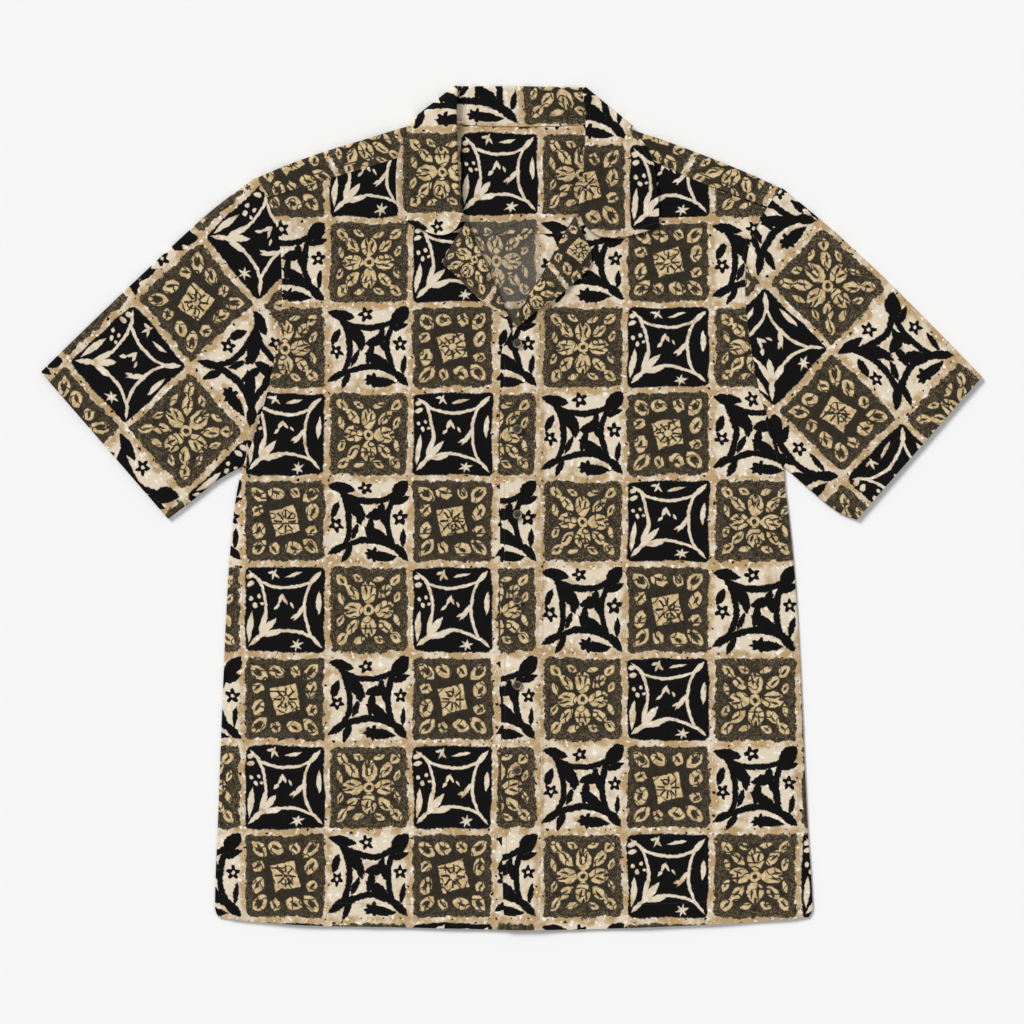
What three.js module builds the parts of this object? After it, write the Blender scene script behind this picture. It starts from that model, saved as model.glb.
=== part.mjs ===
// Short-sleeved camp-collar shirt, laid flat on its back with its front up.
// Millimetres, +Z up, collar toward +Y. "Left" and "right" are the wearer's, so the right front
// lies on the -X side and the left front, which overlaps it, on the +X side.
import * as THREE from "three";

// ---------------------------------------------------------------- cloth and layers
const CLOTH = 1.0; // wall of one layer of cloth
const FACING = 1.2; // wall of a facing
const COLLAR = 1.6; // wall of the collar, two layers sewn together
const GAP = 0.3; // between pieces at a seam, and between layers that lie on each other
const LAYER = CLOTH + GAP;

// Heights of middle surfaces above the floor
const BACK_Z = CLOTH / 2;
const SIDE_Z = BACK_Z + LAYER; // front at the side seams
const UNDERARM_Z = 2.6; // front at the underarm
const FRONT_Z = 2.9; // front over the body
const SHOULDER_Z = 7.0; // top of the shoulder fold at the armhole
const NECK_Z = 8.0; // top of the shoulder fold beside the neck
const SLEEVE_Z = 4.4; // upper layer of the sleeves
const CUFF_Z = 3.8;

const UNDERARM_Y = 40;

// Height of the front's edge along the side seam and the armhole seam
const EDGE_HEIGHTS = [
  { y: -402, z: SIDE_Z },
  { y: 0, z: SIDE_Z },
  { y: UNDERARM_Y, z: UNDERARM_Z },
  { y: 90, z: 3.2 },
  { y: 170, z: 3.7 },
  { y: 250, z: 5.2 },
  { y: 285, z: SHOULDER_Z },
  { y: 320, z: SHOULDER_Z },
];

// How the heights of the fronts change, measured in plan
const SIDE_ROUND = 16; // they round down to the side and armhole seams
const SHOULDER_RISE = 60; // they rise to the shoulder fold below the forward seam
const SHOULDER_DROP = { from: 120, over: 90 }; // the fold sinks from the neck to the armhole
const NECK_RISE = { height: 2.3, fromY: 158, over: 26, reach: 34, fade: 20 }; // room for the facings
// The left front rides over the right one, most of all at the bottom of the open neck
const OVERLAP = { slack: 0.2, reach: 48, fade: 26, topY: 235, topFade: 50 };
const V_RISE = { height: 1.5, fromY: 140, over: 22 };

// ---------------------------------------------------------------- outline
const CENTRE_X = 8.5; // middle of the neck
const BACK_SEAM_Y = 260; // seam between the back and its yoke
const V_Y = 150; // bottom of the open neck

// Side seams and armhole seams, from the hem up to the shoulder folds
const SIDES = [
  { y: -389, right: -277.5, left: 281.5 },
  { y: -381, right: -280.8, left: 285.2 },
  { y: -300, right: -278.0, left: 280.3 },
  { y: -150, right: -272.3, left: 273.4 },
  { y: -70, right: -268.4, left: 268.6 },
  { y: -12, right: -263.6, left: 263.0 },
  { y: 17, right: -259.5, left: 259.3 },
  { y: 40, right: -254.0, left: 257.0 },
  { y: 60, right: -246.0, left: 251.0 },
  { y: 80, right: -240.0, left: 244.8 },
  { y: 100, right: -233.4, left: 237.0 },
  { y: 130, right: -226.5, left: 230.5 },
  { y: 170, right: -218.5, left: 224.0 },
  { y: 210, right: -217.0, left: 221.0 },
  { y: 250, right: -219.0, left: 225.0 },
  { y: 280, right: -225.5, left: 239.0 },
  { y: 295, right: -232.0, left: 249.0 },
  { y: 303, right: -236.5, left: 256.0 },
  { y: 313, right: -242.0, left: 263.0 },
];

// Hem from side to side
const HEM = [
  { x: -277.5, y: -389.0 },
  { x: -248, y: -392.8 },
  { x: -192, y: -396.6 },
  { x: -106, y: -398.5 },
  { x: -20, y: -400.4 },
  { x: 8, y: -401.0 },
  { x: 65, y: -400.4 },
  { x: 150, y: -397.6 },
  { x: 236, y: -392.8 },
  { x: 281.5, y: -389.0 },
];

// Shoulders: the fold at the top edge and the forward seam that joins yoke and front
const SHOULDERS = {
  right: [
    { x: -242.0, fold: 312.8, seam: 290.0 },
    { x: -210.0, fold: 326.3, seam: 299.8 },
    { x: -172.0, fold: 339.6, seam: 311.8 },
    { x: -134.0, fold: 351.0, seam: 323.2 },
    { x: -106.0, fold: 359.6, seam: 331.8 },
    { x: -63.5, fold: 371.5, seam: 345.0 },
  ],
  left: [
    { x: 82.0, fold: 369.0, seam: 350.0 },
    { x: 116.4, fold: 357.7, seam: 336.0 },
    { x: 150.6, fold: 346.3, seam: 320.6 },
    { x: 188.6, fold: 332.0, seam: 304.0 },
    { x: 226.6, fold: 316.5, seam: 289.5 },
    { x: 256.0, fold: 303.0, seam: 279.0 },
  ],
};

const SHOULDER_SEAM_GUESS = 290; // near the outer end of both forward seams

// Back neck seam
const BACK_NECK = [
  { x: -63.5, y: 365.6 },
  { x: -42, y: 362.4 },
  { x: -18, y: 361.1 },
  { x: 8.5, y: 360.8 },
  { x: 36, y: 361.0 },
  { x: 60, y: 362.0 },
  { x: 82, y: 364.6 },
];
const NECK_SEAM_GAP = 0.7; // between yoke and collar, whose sections do not line up

// Inner edges of the fronts below the lapels and along the neck; between them they follow the roll
const FRONT_EDGES = {
  right: {
    body: [
      { y: -402, x: 17.0 },
      { y: 135, x: 17.0 },
      { y: 152, x: 13.0 },
      { y: 167, x: 4.5 },
    ],
    neck: [
      { y: 288, x: -55.5 },
      { y: 310, x: -60.8 },
      { y: 345, x: -63.5 },
    ],
  },
  left: {
    body: [
      { y: -402, x: -5.4 },
      { y: -375, x: -8.0 },
      { y: -100, x: -10.6 },
      { y: 135, x: -10.6 },
      { y: 150, x: -9.0 },
      { y: 160, x: -3.8 },
    ],
    neck: [
      { y: 290, x: 72.4 },
      { y: 310, x: 78.2 },
      { y: 350, x: 82.0 },
    ],
  },
};

// Lapels: along each row, the visible roll and the lapel's outer edge
const LAPELS = {
  right: [
    { rollX: -41.8, rollY: 273.5, edgeX: -64.5, edgeY: 236.0 },
    { rollX: -36.2, rollY: 258.0, edgeX: -64.5, edgeY: 230.5 },
    { rollX: -26.1, rollY: 236.0, edgeX: -52.7, edgeY: 220.0 },
    { rollX: -19.5, rollY: 220.5, edgeX: -41.0, edgeY: 207.6 },
    { rollX: -13.8, rollY: 207.6, edgeX: -29.9, edgeY: 197.0 },
    { rollX: -7.5, rollY: 193.0, edgeX: -17.5, edgeY: 187.5 },
    { rollX: -2.4, rollY: 182.0, edgeX: -8.0, edgeY: 180.0 },
  ],
  left: [
    { rollX: 60.0, rollY: 276.6, edgeX: 75.0, edgeY: 244.0 },
    { rollX: 51.4, rollY: 263.0, edgeX: 76.0, edgeY: 236.0 },
    { rollX: 42.0, rollY: 246.5, edgeX: 73.0, edgeY: 226.5 },
    { rollX: 33.0, rollY: 229.0, edgeX: 59.4, edgeY: 213.3 },
    { rollX: 22.0, rollY: 210.5, edgeX: 40.4, edgeY: 197.0 },
    { rollX: 12.0, rollY: 195.0, edgeX: 26.5, edgeY: 188.0 },
    { rollX: 5.2, rollY: 183.8, edgeX: 14.0, edgeY: 178.0 },
    { rollX: 0.6, rollY: 174.0, edgeX: 6.4, edgeY: 171.0 },
  ],
};
const LAPEL_TURN_IN = 9; // facing that lies under the front beside the roll
const LAPEL_LIFT = 1.0; // spring of the roll
const LAPEL_EASE = 0.35; // slack between a lapel and the front it lies on
const LAPEL_RADIUS = (CLOTH + FACING) / 2 + GAP + LAPEL_EASE; // middle surface of the roll

// Sleeves: the upper fold and the underarm fold from armhole (v = 0) to cuff (v = 1)
const SLEEVES = {
  right: {
    upper: [
      { v: 0, x: -242.0, y: 312.8 },
      { v: 0.25, x: -286.4, y: 279.8 },
      { v: 0.5, x: -343.4, y: 227.5 },
      { v: 0.75, x: -394.5, y: 179.0 },
      { v: 1, x: -446.5, y: 128.5 },
    ],
    under: [
      { v: 0, x: -254.0, y: 40.0 },
      { v: 0.33, x: -278.8, y: 26.1 },
      { v: 0.67, x: -302.6, y: 7.1 },
      { v: 1, x: -326.0, y: -10.5 },
    ],
  },
  left: {
    upper: [
      { v: 0, x: 256.0, y: 303.0 },
      { v: 0.25, x: 302.6, y: 264.6 },
      { v: 0.5, x: 350.1, y: 220.9 },
      { v: 0.75, x: 397.0, y: 174.5 },
      { v: 1, x: 446.5, y: 124.0 },
    ],
    under: [
      { v: 0, x: 257.0, y: 40.0 },
      { v: 0.33, x: 283.6, y: 16.6 },
      { v: 0.67, x: 307.3, y: -2.4 },
      { v: 1, x: 327.5, y: -11.5 },
    ],
  },
};
const SLEEVE_SEAM_GAP = 0.6; // measured along X, because the armhole slants

// Collar: rows down each front, from the shoulder to the end of the leaf
const COLLAR_SIDES = {
  right: {
    out: -1,
    corner: { x: -53.2, y: 397.6 }, // middle of the roll where it turns from back to front
    backRollX: -49.0,
    neckTurn: { x: -61.4, y: 371.0 }, // neck edge where it passes the shoulder fold
    fold: { x: -99.5, y: 363.6 }, // outer edge where it passes the shoulder fold
    rows: [
      { neckX: -60.0, neckY: 364.0, rollX: -51.6, rollY: 378.0, edgeX: -100.5, edgeY: 353.0, sag: 0 },
      { neckX: -61.2, neckY: 352.0, rollX: -51.2, rollY: 354.0, edgeX: -105.0, edgeY: 342.0, sag: 0 },
      { neckX: -60.8, neckY: 330.0, rollX: -50.3, rollY: 328.0, edgeX: -108.5, edgeY: 327.0, sag: 0 },
      { neckX: -58.6, neckY: 308.0, rollX: -49.2, rollY: 304.0, edgeX: -109.6, edgeY: 309.0, sag: 4 },
      { neckX: -55.0, neckY: 294.0, rollX: -47.2, rollY: 290.0, edgeX: -109.0, edgeY: 291.0, sag: 10 },
      { neckX: -48.4, neckY: 281.6, rollX: -44.6, rollY: 276.6, edgeX: -107.8, edgeY: 275.5, sag: 18 },
    ],
  },
  left: {
    out: 1,
    corner: { x: 69.6, y: 396.4 },
    backRollX: 65.4,
    neckTurn: { x: 79.8, y: 368.6 },
    fold: { x: 115.0, y: 361.6 },
    rows: [
      { neckX: 78.4, neckY: 362.0, rollX: 70.2, rollY: 376.0, edgeX: 117.5, edgeY: 354.0, sag: 0 },
      { neckX: 79.6, neckY: 352.0, rollX: 69.6, rollY: 352.0, edgeX: 127.5, edgeY: 342.0, sag: 0 },
      { neckX: 78.6, neckY: 330.0, rollX: 68.4, rollY: 326.0, edgeX: 134.6, edgeY: 326.0, sag: 0 },
      { neckX: 76.4, neckY: 308.0, rollX: 66.2, rollY: 302.0, edgeX: 137.6, edgeY: 306.0, sag: 4 },
      { neckX: 72.0, neckY: 294.0, rollX: 64.2, rollY: 291.0, edgeX: 139.4, edgeY: 286.0, sag: 10 },
      { neckX: 65.6, neckY: 284.6, rollX: 61.8, rollY: 279.6, edgeX: 140.1, edgeY: 265.5, sag: 19 },
    ],
  },
};
const COLLAR_BACK_ROLL_Y = 397.6; // middle of the roll at the centre back
const COLLAR_ROLL_RADIUS = 1.75;
const COLLAR_FRONT_ROLL_Z = 10.6; // middle of the roll beside the neck
const COLLAR_END_ROLL_Z = 8.6; // and at the end of the leaf
const COLLAR_FRONT_STAND_Z = NECK_Z - 0.1;
const COLLAR_CORNER_DROP = 5; // how far the roll has come down the front once it has turned
const COLLAR_STAND_Z = 3.3; // neck edge of the stand at the back

// The collar's back fall lies under the yoke, down to this edge
const BACK_FALL = [
  { x: -97, y: 356 },
  { x: -70, y: 342 },
  { x: -40, y: 336 },
  { x: 8.5, y: 334 },
  { x: 57, y: 336 },
  { x: 87, y: 342 },
  { x: 114, y: 356 },
];
const FALL_LIFT = COLLAR + GAP; // how far the yoke rides up on the back fall
const FALL_HALF_WIDTH = 116;
const FALL_RAMP = { start: 30, length: 12 }; // where the yoke starts to rise before the fall's edge

// Creases that lie over the fronts: from one end to the other, half width and height
const CREASES = [
  { x0: 238, y0: 112, x1: 262, y1: 30, width: 9, height: -0.7 },
  { x0: 214, y0: 128, x1: 246, y1: 22, width: 13, height: 0.6 },
  { x0: 176, y0: 262, x1: 214, y1: 300, width: 12, height: 0.8 },
  { x0: 150, y0: 60, x1: 235, y1: -30, width: 18, height: 0.6 },
  { x0: 120, y0: -60, x1: 150, y1: -330, width: 22, height: -0.5 },
  { x0: 60, y0: 90, x1: 72, y1: -120, width: 20, height: 0.5 },
  { x0: -232, y0: 108, x1: -258, y1: 26, width: 9, height: -0.6 },
  { x0: -205, y0: 120, x1: -240, y1: 10, width: 13, height: 0.6 },
  { x0: -150, y0: 255, x1: -208, y1: 285, width: 13, height: 0.7 },
  { x0: -140, y0: 40, x1: -230, y1: -50, width: 18, height: 0.5 },
  { x0: -90, y0: -40, x1: -120, y1: -340, width: 24, height: -0.5 },
  { x0: -60, y0: 120, x1: -70, y1: -90, width: 20, height: 0.5 },
  { x0: 190, y0: -150, x1: 205, y1: -390, width: 20, height: 0.6 },
  { x0: -190, y0: -160, x1: -200, y1: -390, width: 20, height: 0.6 },
];

const CREASE_FADE = { beyond: 0.15, over: 0.4 }; // shares of a crease's length

// Buttons down the centre front
const BUTTON_ROW = { count: 6, x: 5.7, top: 155.3, pitch: 81 };
const BUTTON = { radius: 4.6, thick: 2, edge: 0.5, rim: 1, dish: 0.5 };
const BUTTON_SEGMENTS = 16;

const COLOURS = { olive: 0x4a4233, cream: 0xd9c7ab, black: 0x1b1b1a, horn: 0x3a2c20 };

// ---------------------------------------------------------------- curves and walls
const lerp = THREE.MathUtils.lerp;
const smooth = (t) => THREE.MathUtils.smoothstep(t, 0, 1);

/** A smooth curve through a table's rows, which are sorted by the column `from`. */
function curve(rows, from, to) {
  const at = rows.map((row) => row[from]);
  const value = rows.map((row) => row[to]);
  const last = rows.length - 1;
  const slope = rows.map((_, i) => {
    const a = Math.max(i - 1, 0);
    const b = Math.min(i + 1, last);
    return (value[b] - value[a]) / (at[b] - at[a]);
  });
  return (x) => {
    const u = THREE.MathUtils.clamp(x, at[0], at[last]);
    let i = 0;
    while (i < last - 1 && u > at[i + 1]) i += 1;
    const h = at[i + 1] - at[i];
    const t = (u - at[i]) / h;
    const ease = t * t * (3 - 2 * t);
    return (
      lerp(value[i], value[i + 1], ease) +
      h * t * (1 - t) * ((1 - t) * slope[i] - t * slope[i + 1])
    );
  };
}

/**
 * A closed wall on a grid of middle-surface points, half its thickness to each side.
 * keep(row, column) says which cells the cloth fills; closed joins the last column to the first.
 */
function wall(rows, thickness, { keep = () => true, closed = false } = {}) {
  const height = rows.length;
  const width = rows[0].length;
  const cellsAcross = closed ? width : width - 1;
  const id = (i, j) => i * width + (j % width);
  const points = rows.flat();
  const normals = points.map(() => new THREE.Vector3());
  const filled = (i, j) => {
    if (i < 0 || i >= height - 1) return false;
    if (!closed && (j < 0 || j >= cellsAcross)) return false;
    return keep(i, (j + cellsAcross) % cellsAcross);
  };
  const cells = [];
  for (let i = 0; i < height - 1; i += 1) {
    for (let j = 0; j < cellsAcross; j += 1) {
      if (filled(i, j)) cells.push({ i, j, ring: [id(i, j), id(i, j + 1), id(i + 1, j + 1), id(i + 1, j)] });
    }
  }
  for (const { ring } of cells) {
    const [a, b, c, d] = ring.map((k) => points[k]);
    const across = new THREE.Vector3().subVectors(c, a);
    const normal = across.cross(new THREE.Vector3().subVectors(d, b)).normalize();
    ring.forEach((k) => normals[k].add(normal));
  }
  const used = new Map();
  const position = [];
  const vertex = (k, side) => {
    const key = 2 * k + side;
    if (!used.has(key)) {
      used.set(key, position.length / 3);
      const offset = (side ? 0.5 : -0.5) * thickness;
      const p = normals[k].clone().normalize().multiplyScalar(offset).add(points[k]);
      position.push(p.x, p.y, p.z);
    }
    return used.get(key);
  };
  const index = [];
  const quad = (a, b, c, d) => index.push(a, b, c, a, c, d);
  const reversedQuad = (a, b, c, d) => index.push(a, c, b, a, d, c);
  for (const { i, j, ring } of cells) {
    const upper = ring.map((k) => vertex(k, 1));
    const lower = ring.map((k) => vertex(k, 0));
    quad(...upper);
    reversedQuad(...lower);
    const beyond = [filled(i - 1, j), filled(i, j + 1), filled(i + 1, j), filled(i, j - 1)];
    beyond.forEach((neighbour, k) => {
      const next = (k + 1) % 4;
      if (!neighbour) quad(lower[k], lower[next], upper[next], upper[k]);
    });
  }
  const geometry = new THREE.BufferGeometry();
  geometry.setAttribute("position", new THREE.Float32BufferAttribute(position, 3));
  geometry.setIndex(index);
  geometry.computeVertexNormals();
  return geometry;
}

// ---------------------------------------------------------------- outline and heights as functions
const sideX = { right: curve(SIDES, "y", "right"), left: curve(SIDES, "y", "left") };
const hemY = curve(HEM, "x", "y");
const backNeckY = curve(BACK_NECK, "x", "y");
const backFallY = curve(BACK_FALL, "x", "y");
const frontEdgeX = { right: frontEdge("right"), left: frontEdge("left") };
const foldY = {
  right: curve(SHOULDERS.right, "x", "fold"),
  left: curve(SHOULDERS.left, "x", "fold"),
};
const seamY = {
  right: curve(SHOULDERS.right, "x", "seam"),
  left: curve(SHOULDERS.left, "x", "seam"),
};
const OUT = { right: -1, left: 1 };

/** Middle of a lapel's roll in plan. The front ends there, inside the facing. */
function rollMiddle({ rollX, rollY, edgeX, edgeY }) {
  const outward = new THREE.Vector2(edgeX - rollX, edgeY - rollY).normalize();
  return new THREE.Vector2(rollX, rollY).addScaledVector(outward, LAPEL_RADIUS + FACING / 2);
}

/** A front's inner edge: the body below the open neck, the lapel's roll and the neck seam. */
function frontEdge(side) {
  const { body, neck } = FRONT_EDGES[side];
  const roll = LAPELS[side].map(rollMiddle).reverse();
  return curve([...body, ...roll, ...neck], "y", "x");
}

/** Height of the top of the shoulder fold: it drops from the neck to the armhole. */
const shoulderZ = (x) =>
  lerp(NECK_Z, SHOULDER_Z, smooth((Math.abs(x - CENTRE_X) - SHOULDER_DROP.from) / SHOULDER_DROP.over));

/** How far the yoke is lifted by the collar's back fall beneath it. */
function fallLift(x, y) {
  const inside = smooth((y - backFallY(x) + FALL_RAMP.start) / FALL_RAMP.length);
  const beside = smooth((FALL_HALF_WIDTH + FALL_RAMP.start - Math.abs(x - CENTRE_X)) / FALL_RAMP.length);
  return FALL_LIFT * inside * beside;
}

/** Height of the front's edge along the side seam and the armhole seam. */
const edgeZ = curve(EDGE_HEIGHTS, "y", "z");

/** The sum of the creases at a point. Each fades out a little beyond its two ends. */
function creaseZ(x, y) {
  const { beyond, over } = CREASE_FADE;
  return CREASES.reduce((sum, { x0, y0, x1, y1, width, height }) => {
    const length2 = (x1 - x0) ** 2 + (y1 - y0) ** 2;
    const t = ((x - x0) * (x1 - x0) + (y - y0) * (y1 - y0)) / length2;
    const along = smooth((t + beyond) / over) * smooth((1 + beyond - t) / over);
    const nearest = THREE.MathUtils.clamp(t, -beyond, 1 + beyond);
    const dx = x - lerp(x0, x1, nearest);
    const dy = y - lerp(y0, y1, nearest);
    return sum + height * along * Math.exp(-(dx * dx + dy * dy) / (width * width));
  }, 0);
}

/** Middle surface of a front. The neck rise makes room for the facing under it. */
function frontZ(side, x, y) {
  const fromSide = OUT[side] * (sideX[side](y) - x);
  const fromEdge = OUT[side] * (x - frontEdgeX[side](y));
  const nearNeck = smooth((y - NECK_RISE.fromY) / NECK_RISE.over);
  const nearEdge = smooth((NECK_RISE.reach - fromEdge) / NECK_RISE.fade);
  const body = FRONT_Z + creaseZ(x, y) + NECK_RISE.height * nearNeck * nearEdge;
  const rounded = lerp(edgeZ(y), body, smooth(fromSide / SIDE_ROUND));
  const belowSeam = seamY[side](x) - y;
  const z = lerp(shoulderZ(x), rounded, smooth(belowSeam / SHOULDER_RISE));
  return side === "left" ? z + overlapZ(x, y) : z;
}

/** How far the left front is lifted where it lies over the right front. */
function overlapZ(x, y) {
  const beside = smooth((OVERLAP.reach - x) / OVERLAP.fade) * smooth((OVERLAP.topY - y) / OVERLAP.topFade);
  const atNeck = V_RISE.height * smooth((y - V_RISE.fromY) / V_RISE.over);
  return (LAYER + OVERLAP.slack + atNeck) * beside;
}

/** Top surface that the collar's leaves lie on. */
function leafZ(side, x, y) {
  const under = y > seamY[side](x) ? shoulderZ(x) : frontZ(side, x, y);
  return under + CLOTH / 2 + GAP + COLLAR / 2;
}

// ---------------------------------------------------------------- panels
/** A panel between an outer and an inner edge, given as functions of the row, from hem to top. */
function panel(outerEdge, innerEdge, rowCount, columnCount, heightAt) {
  const rows = [];
  for (let i = 0; i <= rowCount; i += 1) {
    const v = i / rowCount;
    const from = outerEdge(v);
    const to = innerEdge(v);
    const row = [];
    for (let j = 0; j <= columnCount; j += 1) {
      const s = j / columnCount;
      const x = lerp(from.x, to.x, s);
      const hem = hemY(lerp(outerEdge(0).x, innerEdge(0).x, s));
      const straightHem = lerp(outerEdge(0).y, innerEdge(0).y, s);
      const y = lerp(from.y, to.y, s) + (1 - v) * (hem - straightHem);
      row.push(new THREE.Vector3(x, y, heightAt(x, y)));
    }
    rows.push(row);
  }
  return rows;
}

const BACK_BODY_ROWS = 9;
const BACK_ARMHOLE_ROWS = 14;
const BACK_COLUMNS = 12;
function back() {
  const rowCount = BACK_BODY_ROWS + BACK_ARMHOLE_ROWS;
  const edge = (side) => (v) => {
    const y = twoPartLevel(v, BACK_BODY_ROWS / rowCount, HEM[0].y, UNDERARM_Y, BACK_SEAM_Y - GAP / 2);
    return { x: sideX[side](y), y };
  };
  return wall(panel(edge("right"), edge("left"), rowCount, BACK_COLUMNS, () => BACK_Z), CLOTH);
}

/** A height that runs evenly from low to middle over the first share, then evenly to high. */
function twoPartLevel(v, share, low, middle, high) {
  return v < share ? lerp(low, middle, v / share) : lerp(middle, high, (v - share) / (1 - share));
}

const FRONT_BODY_ROWS = 13;
const FRONT_CHEST_ROWS = 14;
const FRONT_COLUMNS = 15;
function front(side) {
  const rowCount = FRONT_BODY_ROWS + FRONT_CHEST_ROWS;
  const neckEnd = SHOULDERS[side].at(side === "left" ? 0 : -1).seam;
  const armholeEnd = armholeSeamY(side);
  const level = (v, hem, top) => {
    return twoPartLevel(v, FRONT_BODY_ROWS / rowCount, hem, V_Y, top - GAP / 2);
  };
  const outer = (v) => {
    const y = level(v, HEM[0].y, armholeEnd);
    return { x: sideX[side](y), y };
  };
  const inner = (v) => {
    const y = level(v, hemY(FRONT_EDGES[side].body[0].x), neckEnd);
    return { x: frontEdgeX[side](y), y };
  };
  const rows = panel(outer, inner, rowCount, FRONT_COLUMNS, () => 0);
  rows.forEach((row, i) => {
    const share = Math.max(0, (i - FRONT_BODY_ROWS) / FRONT_CHEST_ROWS) ** 2;
    row.forEach((p, j) => {
      const straight = lerp(armholeEnd, neckEnd, j / FRONT_COLUMNS);
      p.y += share * (seamY[side](rows[rowCount][j].x) - straight); // follows the forward seam
      p.z = frontZ(side, p.x, p.y);
    });
  });
  return wall(rows, CLOTH);
}

/** Where the forward seam meets the armhole seam, found by following one and then the other. */
function armholeSeamY(side) {
  const passes = 20;
  let y = SHOULDER_SEAM_GUESS;
  for (let pass = 0; pass < passes; pass += 1) y = seamY[side](sideX[side](y));
  return y;
}

// ---------------------------------------------------------------- yoke
const YOKE_SHOULDER_COLUMNS = 7;
const YOKE_NECK_COLUMNS = 10;
const YOKE_FLAT_ROWS = 6;
const YOKE_TURN_ROWS = 5;
const YOKE_STRIP_ROWS = 2;
const SHOULDER_TURN = 4; // depth of the shoulder fold's round, in plan

/** One layer of the yoke: `inset` is how far it lies inside the outer layer. */
function yoke(inset) {
  const neckFrom = SHOULDERS.right.at(-1).x;
  const neckTo = SHOULDERS.left[0].x;
  const columnCount = 2 * YOKE_SHOULDER_COLUMNS + YOKE_NECK_COLUMNS;
  const columns = [];
  for (let j = 0; j <= columnCount; j += 1) {
    const rightShare = 1 - j / YOKE_SHOULDER_COLUMNS;
    const leftShare = (j - YOKE_SHOULDER_COLUMNS - YOKE_NECK_COLUMNS) / YOKE_SHOULDER_COLUMNS;
    if (rightShare >= 0) columns.push(yokeColumn("right", rightShare, inset));
    else if (leftShare >= 0) columns.push(yokeColumn("left", leftShare, inset));
    else {
      const x = lerp(neckFrom, neckTo, (j - YOKE_SHOULDER_COLUMNS) / YOKE_NECK_COLUMNS);
      columns.push(neckColumn(x, inset));
    }
  }
  const rows = columns[0].map((_, i) => columns.map((column) => column[i]));
  const first = YOKE_SHOULDER_COLUMNS;
  const last = YOKE_SHOULDER_COLUMNS + YOKE_NECK_COLUMNS;
  const keep = (i, j) => i < YOKE_FLAT_ROWS || j < first || j >= last;
  return wall(rows, CLOTH, { keep });
}

/** A column that runs from the back seam over the shoulder fold to the forward seam. */
function yokeColumn(side, share, inset) {
  const shoulder = SHOULDERS[side];
  const neck = side === "right" ? shoulder.at(-1).x : shoulder[0].x;
  const arm = side === "right" ? shoulder[0].x : shoulder.at(-1).x;
  const foldX = lerp(neck, arm, share);
  const foldLine = foldY[side](foldX) - CLOTH / 2;
  const xAt = (y) => foldX + share * (sideX[side](y) - sideX[side](foldLine));
  const low = BACK_Z + fallLift(foldX, foldLine - SHOULDER_TURN);
  const high = shoulderZ(foldX);
  const radius = (high - low) / 2;
  const middle = (high + low) / 2;
  const turnY = foldLine - radius;
  const column = [];
  for (let i = 0; i < YOKE_FLAT_ROWS; i += 1) {
    const y = lerp(BACK_SEAM_Y + GAP / 2, turnY, i / YOKE_FLAT_ROWS);
    column.push(new THREE.Vector3(xAt(y), y, BACK_Z + fallLift(xAt(y), y) + inset));
  }
  for (let i = 0; i <= YOKE_TURN_ROWS; i += 1) {
    const angle = (Math.PI * i) / YOKE_TURN_ROWS;
    const y = turnY + (radius - inset) * Math.sin(angle);
    column.push(new THREE.Vector3(xAt(y), y, middle - (radius - inset) * Math.cos(angle)));
  }
  const seam = seamY[side](xAt(seamY[side](foldX))) + GAP / 2;
  for (let i = 1; i <= YOKE_STRIP_ROWS; i += 1) {
    const y = lerp(turnY, seam, i / YOKE_STRIP_ROWS);
    column.push(new THREE.Vector3(xAt(y), y, high - inset));
  }
  return column;
}

/** A column that ends at the back neck seam; its spare rows stay at the seam. */
function neckColumn(x, inset) {
  const column = [];
  const rowCount = YOKE_FLAT_ROWS + YOKE_TURN_ROWS + YOKE_STRIP_ROWS;
  for (let i = 0; i <= rowCount; i += 1) {
    const t = Math.min(i / YOKE_FLAT_ROWS, 1);
    const y = lerp(BACK_SEAM_Y + GAP / 2, backNeckY(x), t);
    column.push(new THREE.Vector3(x, y, BACK_Z + fallLift(x, y) + inset));
  }
  return column;
}

// ---------------------------------------------------------------- facings
const LAPEL_STEPS = 12; // rows along the roll
const LAPEL_TURN_STEPS = 4;
const LAPEL_FLAT_STEPS = 4;

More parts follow.
